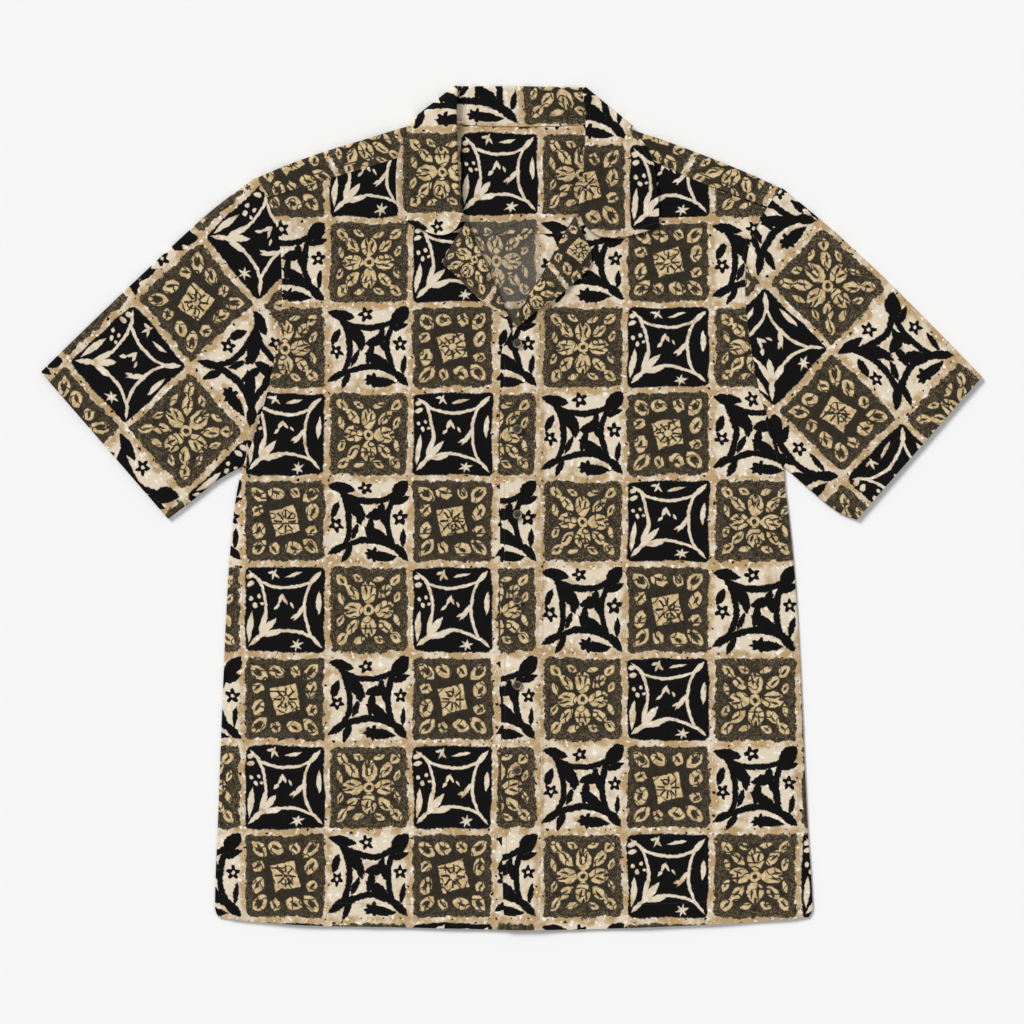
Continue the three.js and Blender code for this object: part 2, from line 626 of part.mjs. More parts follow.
/** A facing: it lies under the front, rolls over its edge and lies on it as the lapel. */
function facing(side) {
  const table = LAPELS[side].map((row, i) => ({ ...row, step: i }));
  const at = Object.fromEntries(
    ["rollX", "rollY", "edgeX", "edgeY"].map((key) => [key, curve(table, "step", key)]),
  );
  const radius = LAPEL_RADIUS;
  const rows = [];
  for (let i = 0; i <= LAPEL_STEPS; i += 1) {
    const step = (i / LAPEL_STEPS) * (table.length - 1);
    const roll = new THREE.Vector2(at.rollX(step), at.rollY(step));
    const edge = new THREE.Vector2(at.edgeX(step), at.edgeY(step));
    const outward = edge.clone().sub(roll);
    const reach = outward.length();
    outward.normalize();
    const centre = roll.clone().addScaledVector(outward, radius + FACING / 2);
    const place = (along, offset) => {
      const p = centre.clone().addScaledVector(outward, along);
      return new THREE.Vector3(p.x, p.y, frontZ(side, p.x, p.y) + offset);
    };
    const row = [];
    const turnIn = Math.min(LAPEL_TURN_IN, reach);
    for (const t of [1, 0.5]) row.push(place(turnIn * t, -radius));
    for (let k = 0; k <= LAPEL_TURN_STEPS; k += 1) {
      const angle = (Math.PI * k) / LAPEL_TURN_STEPS;
      const p = centre.clone().addScaledVector(outward, -radius * Math.sin(angle));
      const z = frontZ(side, centre.x, centre.y) - radius * Math.cos(angle);
      row.push(new THREE.Vector3(p.x, p.y, z));
    }
    for (let k = 1; k <= LAPEL_FLAT_STEPS; k += 1) {
      const t = k / LAPEL_FLAT_STEPS;
      const spring = LAPEL_LIFT * Math.sin(Math.PI * Math.min(1, 1.4 * t)) * Math.min(1, reach / 20);
      row.push(place(t * (reach - radius - FACING / 2), radius + Math.max(0, spring)));
    }
    rows.push(row);
  }
  return wall(rows, FACING);
}

// ---------------------------------------------------------------- sleeves
const SLEEVE_ROWS = 10;
const SLEEVE_TOP_STEPS = 8;
const SLEEVE_FOLD_STEPS = 4;
const SLEEVE_BOTTOM_STEPS = 6;

const SLEEVE_WAVE = { height: 0.5, along: 7, across: 5 };
const SLEEVE_SETTLE = 0.22; // share of the length over which it settles from the armhole's height

/** Middle surface of a sleeve's upper layer: across from the upper fold (0) to the underarm (1). */
function sleeveZ(across, v, armholeHeight) {
  const { height, along, across: sideways } = SLEEVE_WAVE;
  const wave = height * Math.sin(along * v + sideways * across) * Math.sin(Math.PI * across);
  const lying = lerp(SLEEVE_Z, CUFF_Z, v) + wave * (1 - v);
  return lerp(armholeHeight, lying, smooth(v / SLEEVE_SETTLE));
}

/** A sleeve: a flattened tube from the armhole seam to the cuff. */
function sleeve(side) {
  const { upper, under } = SLEEVES[side];
  const fold = (table) => {
    const x = curve(table, "v", "x");
    const y = curve(table, "v", "y");
    return (v) => new THREE.Vector2(x(v), y(v));
  };
  const upperFold = fold(upper);
  const underFold = fold(under);
  const bulge = (line, v) => line(v).sub(line(0).lerp(line(1), v));
  const seamShift = OUT[side] * SLEEVE_SEAM_GAP;
  const plan = (across, v) => {
    const y = lerp(upperFold(0).y, underFold(0).y, across);
    const start = new THREE.Vector2(sideX[side](y) + seamShift, y);
    const end = upperFold(1).lerp(underFold(1), across);
    const p = start.lerp(end, v);
    p.addScaledVector(bulge(upperFold, v), 1 - across);
    return p.addScaledVector(bulge(underFold, v), across);
  };
  const rows = [];
  for (let i = 0; i <= SLEEVE_ROWS; i += 1) {
    const v = i / SLEEVE_ROWS;
    const length = upperFold(v).distanceTo(underFold(v));
    const topZ = (across) => sleeveZ(across, v, edgeZ(lerp(upperFold(0).y, underFold(0).y, across)));
    const radiusAt = (across) => (topZ(across) - BACK_Z) / 2;
    const insets = [radiusAt(0) / length, radiusAt(1) / length];
    const row = [];
    const add = (across, z) => {
      const p = plan(across, v);
      row.push(new THREE.Vector3(p.x, p.y, z));
    };
    for (let k = 0; k < SLEEVE_TOP_STEPS; k += 1) {
      const across = lerp(insets[0], 1 - insets[1], k / SLEEVE_TOP_STEPS);
      add(across, topZ(across));
    }
    for (let k = 0; k < SLEEVE_FOLD_STEPS; k += 1) {
      const angle = (Math.PI * k) / SLEEVE_FOLD_STEPS;
      add(1 - insets[1] * (1 - Math.sin(angle)), BACK_Z + radiusAt(1) * (1 + Math.cos(angle)));
    }
    for (let k = 0; k < SLEEVE_BOTTOM_STEPS; k += 1) {
      add(lerp(1 - insets[1], insets[0], k / SLEEVE_BOTTOM_STEPS), BACK_Z);
    }
    for (let k = 0; k < SLEEVE_FOLD_STEPS; k += 1) {
      const angle = (Math.PI * k) / SLEEVE_FOLD_STEPS;
      add(insets[0] * (1 - Math.sin(angle)), BACK_Z + radiusAt(0) * (1 - Math.cos(angle)));
    }
    rows.push(row);
  }
  return wall(rows, CLOTH, { closed: true });
}

// ---------------------------------------------------------------- collar
const COLLAR_STAND_STEPS = 3;
const COLLAR_TURN_STEPS = 4;
const COLLAR_FALL_STEPS = 5;
const COLLAR_WRAP_STEPS = 5;
const COLLAR_BACK_STEPS = 10;
const COLLAR_ROW_STEPS = 2; // sections for each row of the table

/**
 * One section of the collar, from its neck edge over the roll to its outer edge.
 * bulge is the plan angle of the roll from +Y toward the neck opening, and turn the angle by
 * which the fall has passed from under the stand (0) to over it (half a turn).
 */
function collarSection({ out, neck, roll, bulge, turn, edge, sag, lyingZ }) {
  const ahead = new THREE.Vector3(-out * Math.sin(bulge), Math.cos(bulge), 0);
  const aside = new THREE.Vector3(-out * Math.cos(bulge), -Math.sin(bulge), 0);
  const toStand = aside.multiplyScalar(Math.sin(turn)).add(new THREE.Vector3(0, 0, Math.cos(turn)));
  const around = (angle) =>
    roll
      .clone()
      .addScaledVector(toStand, COLLAR_ROLL_RADIUS * Math.cos(angle))
      .addScaledVector(ahead, COLLAR_ROLL_RADIUS * Math.sin(angle));
  const section = [];
  for (let k = 0; k < COLLAR_STAND_STEPS; k += 1) {
    section.push(neck.clone().lerp(around(0), k / COLLAR_STAND_STEPS));
  }
  for (let k = 0; k <= COLLAR_TURN_STEPS; k += 1) section.push(around((Math.PI * k) / COLLAR_TURN_STEPS));
  const start = around(Math.PI);
  for (let k = 1; k <= COLLAR_FALL_STEPS; k += 1) {
    const t = k / COLLAR_FALL_STEPS;
    const x = lerp(start.x, edge.x, t);
    const y = lerp(start.y, edge.y, t) - sag * Math.sin(Math.PI * t ** 0.6);
    const rest = lyingZ(x, y);
    section.push(new THREE.Vector3(x, y, rest + (start.z - rest) * (1 - t) ** 3));
  }
  return section;
}

/** The sections of half the collar, from next to the centre back to the end of its leaf. */
function collarHalf(side) {
  const { out, corner, backRollX, neckTurn, fold, rows } = COLLAR_SIDES[side];
  const underZ = COLLAR / 2;
  const overZ = NECK_Z + CLOTH / 2 + GAP + COLLAR / 2;
  const backRollZ = underZ + COLLAR_ROLL_RADIUS;
  const wrapRadius = (overZ - underZ) / 2;
  const neckRadius = (COLLAR_FRONT_STAND_Z - COLLAR_STAND_Z) / 2;
  const silhouette = new THREE.Vector2(fold.x - corner.x, fold.y - corner.y).normalize();
  const inward = new THREE.Vector2(-out * Math.abs(silhouette.y), -Math.abs(silhouette.x));
  const neckLine = new THREE.Vector2(corner.x - neckTurn.x, corner.y - neckTurn.y).normalize();
  const neckInward = new THREE.Vector2(-out * neckLine.y, out * neckLine.x);
  const backX = (t, to) => lerp(CENTRE_X, to, t);
  const sections = [];

  const edgeStart = new THREE.Vector2(fold.x, fold.y).addScaledVector(inward, wrapRadius);
  const neckStart = new THREE.Vector2(neckTurn.x, neckTurn.y).addScaledVector(neckInward, neckRadius);
  for (let k = 1; k < COLLAR_BACK_STEPS; k += 1) {
    const t = k / COLLAR_BACK_STEPS;
    const neckX = backX(t, neckStart.x);
    const edgeX = backX(t, edgeStart.x);
    const edgeY = Math.min(backFallY(edgeX) + 1, edgeStart.y);
    const rollY = lerp(COLLAR_BACK_ROLL_Y, corner.y, t);
    sections.push({
      neck: new THREE.Vector3(neckX, backNeckY(neckX) + NECK_SEAM_GAP, COLLAR_STAND_Z),
      roll: new THREE.Vector3(backX(t, backRollX), rollY, backRollZ),
      edge: new THREE.Vector2(edgeX, edgeY),
      bulge: 0,
      turn: 0,
      lyingZ: () => underZ,
    });
  }
  for (let k = 0; k <= COLLAR_WRAP_STEPS; k += 1) {
    const t = k / COLLAR_WRAP_STEPS;
    const turn = Math.PI * t;
    const tuck = 1 - Math.sin(turn);
    const n = new THREE.Vector2(neckTurn.x, neckTurn.y).addScaledVector(neckInward, neckRadius * tuck);
    const e = new THREE.Vector2(fold.x, fold.y).addScaledVector(inward, wrapRadius * tuck);
    sections.push({
      neck: new THREE.Vector3(n.x, n.y, COLLAR_STAND_Z + neckRadius * (1 - Math.cos(turn))),
      roll: new THREE.Vector3(
        lerp(backRollX, corner.x, smooth(2 * t)),
        corner.y - COLLAR_CORNER_DROP * smooth(2 * t - 1),
        lerp(backRollZ, COLLAR_FRONT_ROLL_Z, (1 - Math.cos(turn)) / 2),
      ),
      edge: e,
      bulge: (Math.PI / 2) * smooth(t),
      turn,
      lyingZ: () => underZ + wrapRadius * (1 - Math.cos(turn)),
    });
  }
  const table = rows.map((row, i) => ({ ...row, step: i }));
  const column = (key) => curve(table, "step", key);
  const [neckX, neckY, rollX, rollY, edgeX, edgeY, sag] = [
    "neckX", "neckY", "rollX", "rollY", "edgeX", "edgeY", "sag",
  ].map(column);
  const stepCount = (rows.length - 1) * COLLAR_ROW_STEPS;
  for (let k = 0; k <= stepCount; k += 1) {
    const step = k / COLLAR_ROW_STEPS;
    const rollCentreX = rollX(step) + out * (COLLAR_ROLL_RADIUS + COLLAR / 2);
    const drop = smooth(k / stepCount);
    const seat = Math.min(COLLAR_FRONT_STAND_Z, frontZ(side, neckX(step) + out, neckY(step)));
    sections.push({
      neck: new THREE.Vector3(neckX(step), neckY(step), seat),
      roll: new THREE.Vector3(rollCentreX, rollY(step), lerp(COLLAR_FRONT_ROLL_Z, COLLAR_END_ROLL_Z, drop)),
      edge: new THREE.Vector2(edgeX(step), edgeY(step)),
      bulge: Math.PI / 2,
      turn: Math.PI,
      sag: sag(step),
      lyingZ: (x, y) => leafZ(side, x, y),
    });
  }
  return sections.map((section) => collarSection({ out, sag: 0, ...section }));
}

function collar() {
  const centre = collarSection({
    out: 1,
    neck: new THREE.Vector3(CENTRE_X, backNeckY(CENTRE_X) + NECK_SEAM_GAP, COLLAR_STAND_Z),
    roll: new THREE.Vector3(CENTRE_X, COLLAR_BACK_ROLL_Y, COLLAR / 2 + COLLAR_ROLL_RADIUS),
    edge: new THREE.Vector2(CENTRE_X, backFallY(CENTRE_X) + 1),
    bulge: 0,
    turn: 0,
    sag: 0,
    lyingZ: () => COLLAR / 2,
  });
  const rows = [...collarHalf("right").reverse(), centre, ...collarHalf("left")];
  return wall(rows, COLLAR);
}

// ---------------------------------------------------------------- buttons
function button() {
  const { radius, thick, edge, rim, dish } = BUTTON;
  const profile = [
    [0, 0],
    [radius - edge, 0],
    [radius, edge],
    [radius, thick - edge],
    [radius - edge, thick],
    [radius - rim, thick],
    [radius - rim - dish, thick - dish],
    [0, thick - dish],
  ].map(([x, y]) => new THREE.Vector2(x, y));
  return new THREE.LatheGeometry(profile, BUTTON_SEGMENTS).rotateX(Math.PI / 2);
}

// ---------------------------------------------------------------- the shirt
function mesh(name, geometry, color, roughness) {
  const material = new THREE.MeshStandardMaterial({ color, roughness, metalness: 0 });
  const piece = new THREE.Mesh(geometry, material);
  piece.name = name;
  return piece;
}

const CLOTH_ROUGHNESS = 0.9;
const BUTTON_ROUGHNESS = 0.35;

const shirt = new THREE.Group();
shirt.name = "hawaiian_shirt";
shirt.add(
  mesh("back", back(), COLOURS.olive, CLOTH_ROUGHNESS),
  mesh("yoke_outer", yoke(0), COLOURS.olive, CLOTH_ROUGHNESS),
  mesh("yoke_inner", yoke(LAYER), COLOURS.black, CLOTH_ROUGHNESS),
  mesh("front_right", front("right"), COLOURS.cream, CLOTH_ROUGHNESS),
  mesh("front_left", front("left"), COLOURS.cream, CLOTH_ROUGHNESS),
  mesh("facing_right", facing("right"), COLOURS.olive, CLOTH_ROUGHNESS),
  mesh("facing_left", facing("left"), COLOURS.olive, CLOTH_ROUGHNESS),
  mesh("collar", collar(), COLOURS.olive, CLOTH_ROUGHNESS),
  mesh("sleeve_right", sleeve("right"), COLOURS.black, CLOTH_ROUGHNESS),
  mesh("sleeve_left", sleeve("left"), COLOURS.black, CLOTH_ROUGHNESS),
);
for (let i = 0; i < BUTTON_ROW.count; i += 1) {
  const piece = mesh(`button_${i + 1}`, button(), COLOURS.horn, BUTTON_ROUGHNESS);
  const { x, top, pitch } = BUTTON_ROW;
  const y = top - i * pitch;
  piece.position.set(x, y, frontZ("left", x, y) + CLOTH / 2 + GAP);
  shirt.add(piece);
}

// The origin is the middle of the shirt's outline, on the floor.
const box = new THREE.Box3().setFromObject(shirt);
const middle = box.getCenter(new THREE.Vector3());
shirt.position.set(-middle.x, -middle.y, -box.min.z);

export default shirt;
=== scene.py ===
"""Looks of a short-sleeved camp-collar shirt in block-printed cotton, laid flat.

Sizes are in millimetres in the tables, as a maker would mark them, and in metres in Blender.
The shirt lies on its back, +Z up and the collar toward +Y. "Left" and "right" are the wearer's.
"""
import math

import bmesh
import bpy
import numpy as np
from bpy.props import FloatProperty, FloatVectorProperty, PointerProperty
from mathutils import Matrix, Vector


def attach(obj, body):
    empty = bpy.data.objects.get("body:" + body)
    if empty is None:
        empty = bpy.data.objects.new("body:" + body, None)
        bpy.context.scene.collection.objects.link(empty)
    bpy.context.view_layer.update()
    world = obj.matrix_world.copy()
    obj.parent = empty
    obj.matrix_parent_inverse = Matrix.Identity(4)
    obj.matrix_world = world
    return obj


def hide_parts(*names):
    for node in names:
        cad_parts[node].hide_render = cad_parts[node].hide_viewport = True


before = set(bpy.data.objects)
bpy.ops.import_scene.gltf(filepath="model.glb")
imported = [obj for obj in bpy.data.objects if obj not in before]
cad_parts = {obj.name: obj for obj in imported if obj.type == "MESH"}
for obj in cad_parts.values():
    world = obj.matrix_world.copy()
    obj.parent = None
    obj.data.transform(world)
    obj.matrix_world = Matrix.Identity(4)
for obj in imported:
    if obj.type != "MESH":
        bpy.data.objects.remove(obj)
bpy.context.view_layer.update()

bl_info = {
    "name": "Block-printed camp shirt",
    "version": (1, 0, 0),
    "blender": (4, 5, 0),
    "location": "View3D > Sidebar > Shirt",
    "description": "Makes the cloth pieces, buttons and stitching of a flat-laid camp shirt",
    "category": "Add Mesh",
}

# ---------------------------------------------------------------- layers, in millimetres
SHIFT = (-0.004, 0.423)  # from the pattern's origin to the middle of the shirt
PLY = 1.0  # room that one layer takes
FACING_PLY = 1.2
COLLAR_PLY = 1.6
GAP = 0.3
LAYER = PLY + GAP

BACK_Z = PLY / 2
SIDE_Z = BACK_Z + LAYER
UNDERARM_Z = 2.6
FRONT_Z = 2.9
SHOULDER_Z = 7.0
NECK_Z = 8.0
SLEEVE_Z = 4.4
CUFF_Z = 3.8

EDGE_HEIGHTS = [  # y, height of a front's outer edge
    (-402, SIDE_Z), (0, SIDE_Z), (40, UNDERARM_Z), (90, 3.2), (170, 3.7), (250, 5.2),
    (285, SHOULDER_Z), (320, SHOULDER_Z),
]
SIDE_ROUND = 16
SHOULDER_RISE = 60
SHOULDER_DROP = (120, 90)  # from, over
NECK_RISE = {"height": 2.3, "from": 158, "over": 26, "reach": 34, "fade": 20}
OVERLAP = {"slack": 0.2, "reach": 48, "fade": 26, "top": 235, "top_fade": 50}
V_RISE = (1.5, 140, 22)  # height, from, over

# ---------------------------------------------------------------- outline
CENTRE_X = 8.5
BACK_SEAM_Y = 260
V_Y = 150
UNDERARM_Y = 40

SIDES = [  # y, right, left
    (-389, -277.5, 281.5), (-381, -280.8, 285.2), (-300, -278.0, 280.3), (-150, -272.3, 273.4),
    (-70, -268.4, 268.6), (-12, -263.6, 263.0), (17, -259.5, 259.3), (40, -254.0, 257.0),
    (60, -246.0, 251.0), (80, -240.0, 244.8), (100, -233.4, 237.0), (130, -226.5, 230.5),
    (170, -218.5, 224.0), (210, -217.0, 221.0), (250, -219.0, 225.0), (280, -225.5, 239.0),
    (295, -232.0, 249.0), (303, -236.5, 256.0), (313, -242.0, 263.0),
]
HEM = [  # x, y
    (-277.5, -389.0), (-248, -392.8), (-192, -396.6), (-106, -398.5), (-20, -400.4),
    (8, -401.0), (65, -400.4), (150, -397.6), (236, -392.8), (281.5, -389.0),
]
SHOULDERS = {  # x, fold, seam
    "right": [
        (-242.0, 312.8, 290.0), (-210.0, 326.3, 299.8), (-172.0, 339.6, 311.8),
        (-134.0, 351.0, 323.2), (-106.0, 359.6, 331.8), (-63.5, 371.5, 345.0),
    ],
    "left": [
        (82.0, 369.0, 350.0), (116.4, 357.7, 336.0), (150.6, 346.3, 320.6),
        (188.6, 332.0, 304.0), (226.6, 316.5, 289.5), (256.0, 303.0, 279.0),
    ],
}
BACK_NECK = [  # x, y
    (-63.5, 365.6), (-42, 362.4), (-18, 361.1), (8.5, 360.8), (36, 361.0), (60, 362.0),
    (82, 364.6),
]
FRONT_EDGES = {  # y, x
    "right": {
        "body": [(-402, 17.0), (135, 17.0), (152, 13.0), (167, 4.5)],
        "neck": [(288, -55.5), (310, -60.8), (345, -63.5)],
    },
    "left": {
        "body": [(-402, -5.4), (-375, -8.0), (-100, -10.6), (135, -10.6), (150, -9.0), (160, -3.8)],
        "neck": [(290, 72.4), (310, 78.2), (350, 82.0)],
    },
}
LAPELS = {  # roll x, roll y, edge x, edge y
    "right": [
        (-41.8, 273.5, -64.5, 236.0), (-36.2, 258.0, -64.5, 230.5), (-26.1, 236.0, -52.7, 220.0),
        (-19.5, 220.5, -41.0, 207.6), (-13.8, 207.6, -29.9, 197.0), (-7.5, 193.0, -17.5, 187.5),
        (-2.4, 182.0, -8.0, 180.0),
    ],
    "left": [
        (60.0, 276.6, 75.0, 244.0), (51.4, 263.0, 76.0, 236.0), (42.0, 246.5, 73.0, 226.5),
        (33.0, 229.0, 59.4, 213.3), (22.0, 210.5, 40.4, 197.0), (12.0, 195.0, 26.5, 188.0),
        (5.2, 183.8, 14.0, 178.0), (0.6, 174.0, 6.4, 171.0),
    ],
}
LAPEL_TURN_IN = 9
LAPEL_LIFT = 1.0
LAPEL_RADIUS = (PLY + FACING_PLY) / 2 + GAP + 0.35

SLEEVES = {  # share of the length, x, y
    "right": {
        "upper": [(0, -242.0, 312.8), (0.25, -286.4, 279.8), (0.5, -343.4, 227.5),
                  (0.75, -394.5, 179.0), (1, -446.5, 128.5)],
        "under": [(0, -254.0, 40.0), (0.33, -278.8, 26.1), (0.67, -302.6, 7.1), (1, -326.0, -10.5)],
    },
    "left": {
        "upper": [(0, 256.0, 303.0), (0.25, 302.6, 264.6), (0.5, 350.1, 220.9),
                  (0.75, 397.0, 174.5), (1, 446.5, 124.0)],
        "under": [(0, 257.0, 40.0), (0.33, 283.6, 16.6), (0.67, 307.3, -2.4), (1, 327.5, -11.5)],
    },
}
SLEEVE_SEAM_GAP = 0.6
SLEEVE_WAVE = (0.5, 7, 5)  # height, turns along, turns across
SLEEVE_RIPPLES = ((0.35, 9, 5, 0), (0.25, 4, -11, 1))  # height, turns across, turns along, start
SLEEVE_SETTLE = 0.22  # share of the length over which a sleeve comes down from the armhole

COLLAR_SIDES = {  # rows: neck x, neck y, roll x, roll y, edge x, edge y, sag
    "right": {
        "corner": (-53.2, 397.6), "back_roll_x": -49.0, "neck_turn": (-61.4, 371.0),
        "fold": (-99.5, 363.6),
        "rows": [
            (-60.0, 364.0, -51.6, 378.0, -100.5, 353.0, 0),
            (-61.2, 352.0, -51.2, 354.0, -105.0, 342.0, 0),
            (-60.8, 330.0, -50.3, 328.0, -108.5, 327.0, 0),
            (-58.6, 308.0, -49.2, 304.0, -109.6, 309.0, 4),
            (-55.0, 294.0, -47.2, 290.0, -109.0, 291.0, 10),
            (-48.4, 281.6, -44.6, 276.6, -107.8, 275.5, 18),
        ],
    },
    "left": {
        "corner": (69.6, 396.4), "back_roll_x": 65.4, "neck_turn": (79.8, 368.6),
        "fold": (115.0, 361.6),
        "rows": [
            (78.4, 362.0, 70.2, 376.0, 117.5, 354.0, 0),
            (79.6, 352.0, 69.6, 352.0, 127.5, 342.0, 0),
            (78.6, 330.0, 68.4, 326.0, 134.6, 326.0, 0),
            (76.4, 308.0, 66.2, 302.0, 137.6, 306.0, 4),
            (72.0, 294.0, 64.2, 291.0, 139.4, 286.0, 10),
            (65.6, 284.6, 61.8, 279.6, 140.1, 265.5, 19),
        ],
    },
}
COLLAR_BACK_ROLL_Y = 397.6
COLLAR_ROLL_RADIUS = 1.75
COLLAR_FRONT_ROLL_Z = 10.6
COLLAR_END_ROLL_Z = 8.6
COLLAR_FRONT_STAND_Z = NECK_Z - 0.1
COLLAR_CORNER_DROP = 5
COLLAR_STAND_Z = 3.3
NECK_SEAM_GAP = 0.7
BACK_FALL = [(-97, 356), (-70, 342), (-40, 336), (8.5, 334), (57, 336), (87, 342), (114, 356)]
FALL_LIFT = COLLAR_PLY + GAP
FALL_HALF_WIDTH = 116
FALL_RAMP = (30, 12)

CREASES = [  # x0, y0, x1, y1, half width, height
    (238, 112, 262, 30, 9, -0.7), (214, 128, 246, 22, 13, 0.6), (176, 262, 214, 300, 12, 0.8),
    (150, 60, 235, -30, 18, 0.6), (120, -60, 150, -330, 22, -0.5), (60, 90, 72, -120, 20, 0.5),
    (-232, 108, -258, 26, 9, -0.6), (-205, 120, -240, 10, 13, 0.6),
    (-150, 255, -208, 285, 13, 0.7), (-140, 40, -230, -50, 18, 0.5),
    (-90, -40, -120, -340, 24, -0.5), (-60, 120, -70, -90, 20, 0.5),
    (190, -150, 205, -390, 20, 0.6), (-190, -160, -200, -390, 20, 0.6),
]
CREASE_FADE = (0.15, 0.4)  # beyond the ends, over
RIPPLES = {"count": 18, "lengths": (38, 120), "height": 0.2, "seed": 5}
SIDE_CALM = 30  # the ripples fade out over this width beside a side seam

# Cloth beside a seam. Grooves and puckers: from the seam, width, height
ARMHOLE = {"grooves": ((9, 5, 0.85), (5.5, 1.6, -0.35)), "puckers": (7, 7, 0.13), "pitch": 9.5}
ARMHOLE_END = (6, 14)  # below the underarm, over
PLACKET = {"grooves": ((2.4, 1.6, -0.30),), "puckers": (3, 9, 0.07), "pitch": 12.0}
PLACKET_END = (235, 60)  # up to, over
SLEEVE_HEAD = {"grooves": ((0, 6, -1.0), (15, 8, 0.6)), "puckers": (5, 7, 0.16), "pitch": 10.5}
SLEEVE_HEAD_LENGTH = 210
HEM_STEP = {"height": 0.28, "over": 2, "groove": 0.22, "width": 1.6}  # the turned-up layer shows faintly

BUTTON_ROW = {"count": 6, "x": 5.7, "top": 155.3, "pitch": 81.0}
BUTTON_EDGE = 0.4
BUTTON_HIGHLIGHT_RING = (0.64, 0.93)  # shares of a button's radius, between which the rim's upward faces take a painted highlight
BUTTON_SPREAD = 1.05  # from the middle of a button to its holes, along x and y
BUTTON_THREAD_RADIUS = 0.16
THREAD_BAR = [  # along the bar as a share of the spread, height over the dish
    (-1.12, -2.1), (-1.1, -0.4), (-1.0, 0.0), (-0.7, 0.16), (0.0, 0.2), (0.7, 0.16), (1.0, 0.0),
    (1.1, -0.4), (1.12, -2.1),
]
THREAD_STRANDS = (-0.17, 0.17)  # on each side of a pair of holes' middle line
HORN_EDGE_ANGLE = 28  # sharper edges of a button are rounded
HIGHLIGHT_SLOPE = 0.2  # faces that look up at least this much take the rim's painted highlight

# ---------------------------------------------------------------- meshes' steps
FINE = 2.6  # cell of the fronts
COARSE = 3.4  # cell of the back
BACK_WIDTH = 560
BACK_SHARE = 9 / 23  # rows of the back that lie below the underarm
FRONT_SIZE = (690, 290)  # length and width that its cells are counted on
FRONT_SHARE = 13 / 27  # rows of a front that lie below the V
PLACKET_X = 27.4  # the placket strip lies inside this line
PLACKET_COLUMNS = 15
PLACKET_LEAST = 1.5  # width that is left of the strip beside the open neck
SIDE_ROLL = 0.5  # radius of a front's rolled outer edge
YOKE_COLUMNS = (64, 52)  # over each shoulder, along the neck
YOKE_ROWS = (34, 12, 9)  # flat, round the fold, in front of it
PRESSED_SEAM = (0.52, 1, 16)  # share of the usual room between the yoke's layers, from, over
LAPEL_STEPS = {"along": 60, "turn": 8, "flat": 20}
LAPEL_SPRING = 0.9
LAPEL_FULL_REACH = 20  # a lapel that reaches less springs less
SLEEVE_ROWS = 92
SLEEVE_STEPS = (76, 10, 48, 10)  # across the top, under fold, across the bottom, upper fold
COLLAR_STEPS = {"stand": 12, "turn": 12, "fall": 24, "wrap": 16, "back": 26, "row": 11}
LEAF_SPRING = 1.5  # how far the leaves' edges stand off the fronts
SPINDLE = [(-0.5, 0.25), (-0.3, 0.85), (0.0, 1.0), (0.3, 0.85), (0.5, 0.25)]  # share of length, of radius
SPINDLE_SIDES = 6
THREAD_SIDES = 8
CLOTH_ANGLE, THREAD_ANGLE, HORN_ANGLE = 50, 60, 35  # edges flatter than this are smooth

# ---------------------------------------------------------------- rows of stitches
STITCH_LIFT = 0.02  # above the cloth
SEWN_IN = 1  # a hem is sewn this far inside its turned-up edge
HEM_SUNK = 0.12  # the front hem's thread lies that much deeper
ARMHOLE_STITCH = 3  # from its seam, like the next three
SEAM_STITCH = 2.6
PLACKET_STITCH = 2.4
FRONT_STITCH = 4
EDGE_STITCH = 5.0  # from the edge of a lapel or a collar leaf
STITCH_ROW = (-372, 172, 140)  # foot of the placket's rows, top of the outer one, top of the inner one
ROW_ENDS = {"side": 4, "edge": 3, "armhole": 4}  # a row stops this far short of
ROW_STEPS = {"hem": 200, "armhole": 160, "placket": 300, "shoulder": 120}
BACK_SEAM_ROW = (-214, 222)  # from side to side
BACK_HEM_ROW = (-270, 274)
SHOULDER_SPARE = 6  # steps at each end of a forward seam that have no stitches

# ---------------------------------------------------------------- print
# Gutters between printed tiles: rows shared by both fronts, columns of each front
ROW_GUTTERS = [(-391.9, 0), (-307.3, 1), (-223.7, 2), (-140.1, 3), (-53.7, 4), (28.0, 5), (111.6, 6),
               (192.4, 7), (273.1, 8), (356.3, 9)]
RIGHT_COLUMNS = [(-255.1, 0), (-174.8, 1), (-96.0, 2), (-15.7, 3)]
RIGHT_SWAPS = {(1, 8): "A", (0, 7): "D", (0, 6): "B"}
LEFT_COLUMNS = [(28.0, 1), (107.4, 2), (190.0, 3), (273.1, 4)]
PLACKET_COLUMN = (-54.2, 79.8)  # start of its tile, and the tile's width

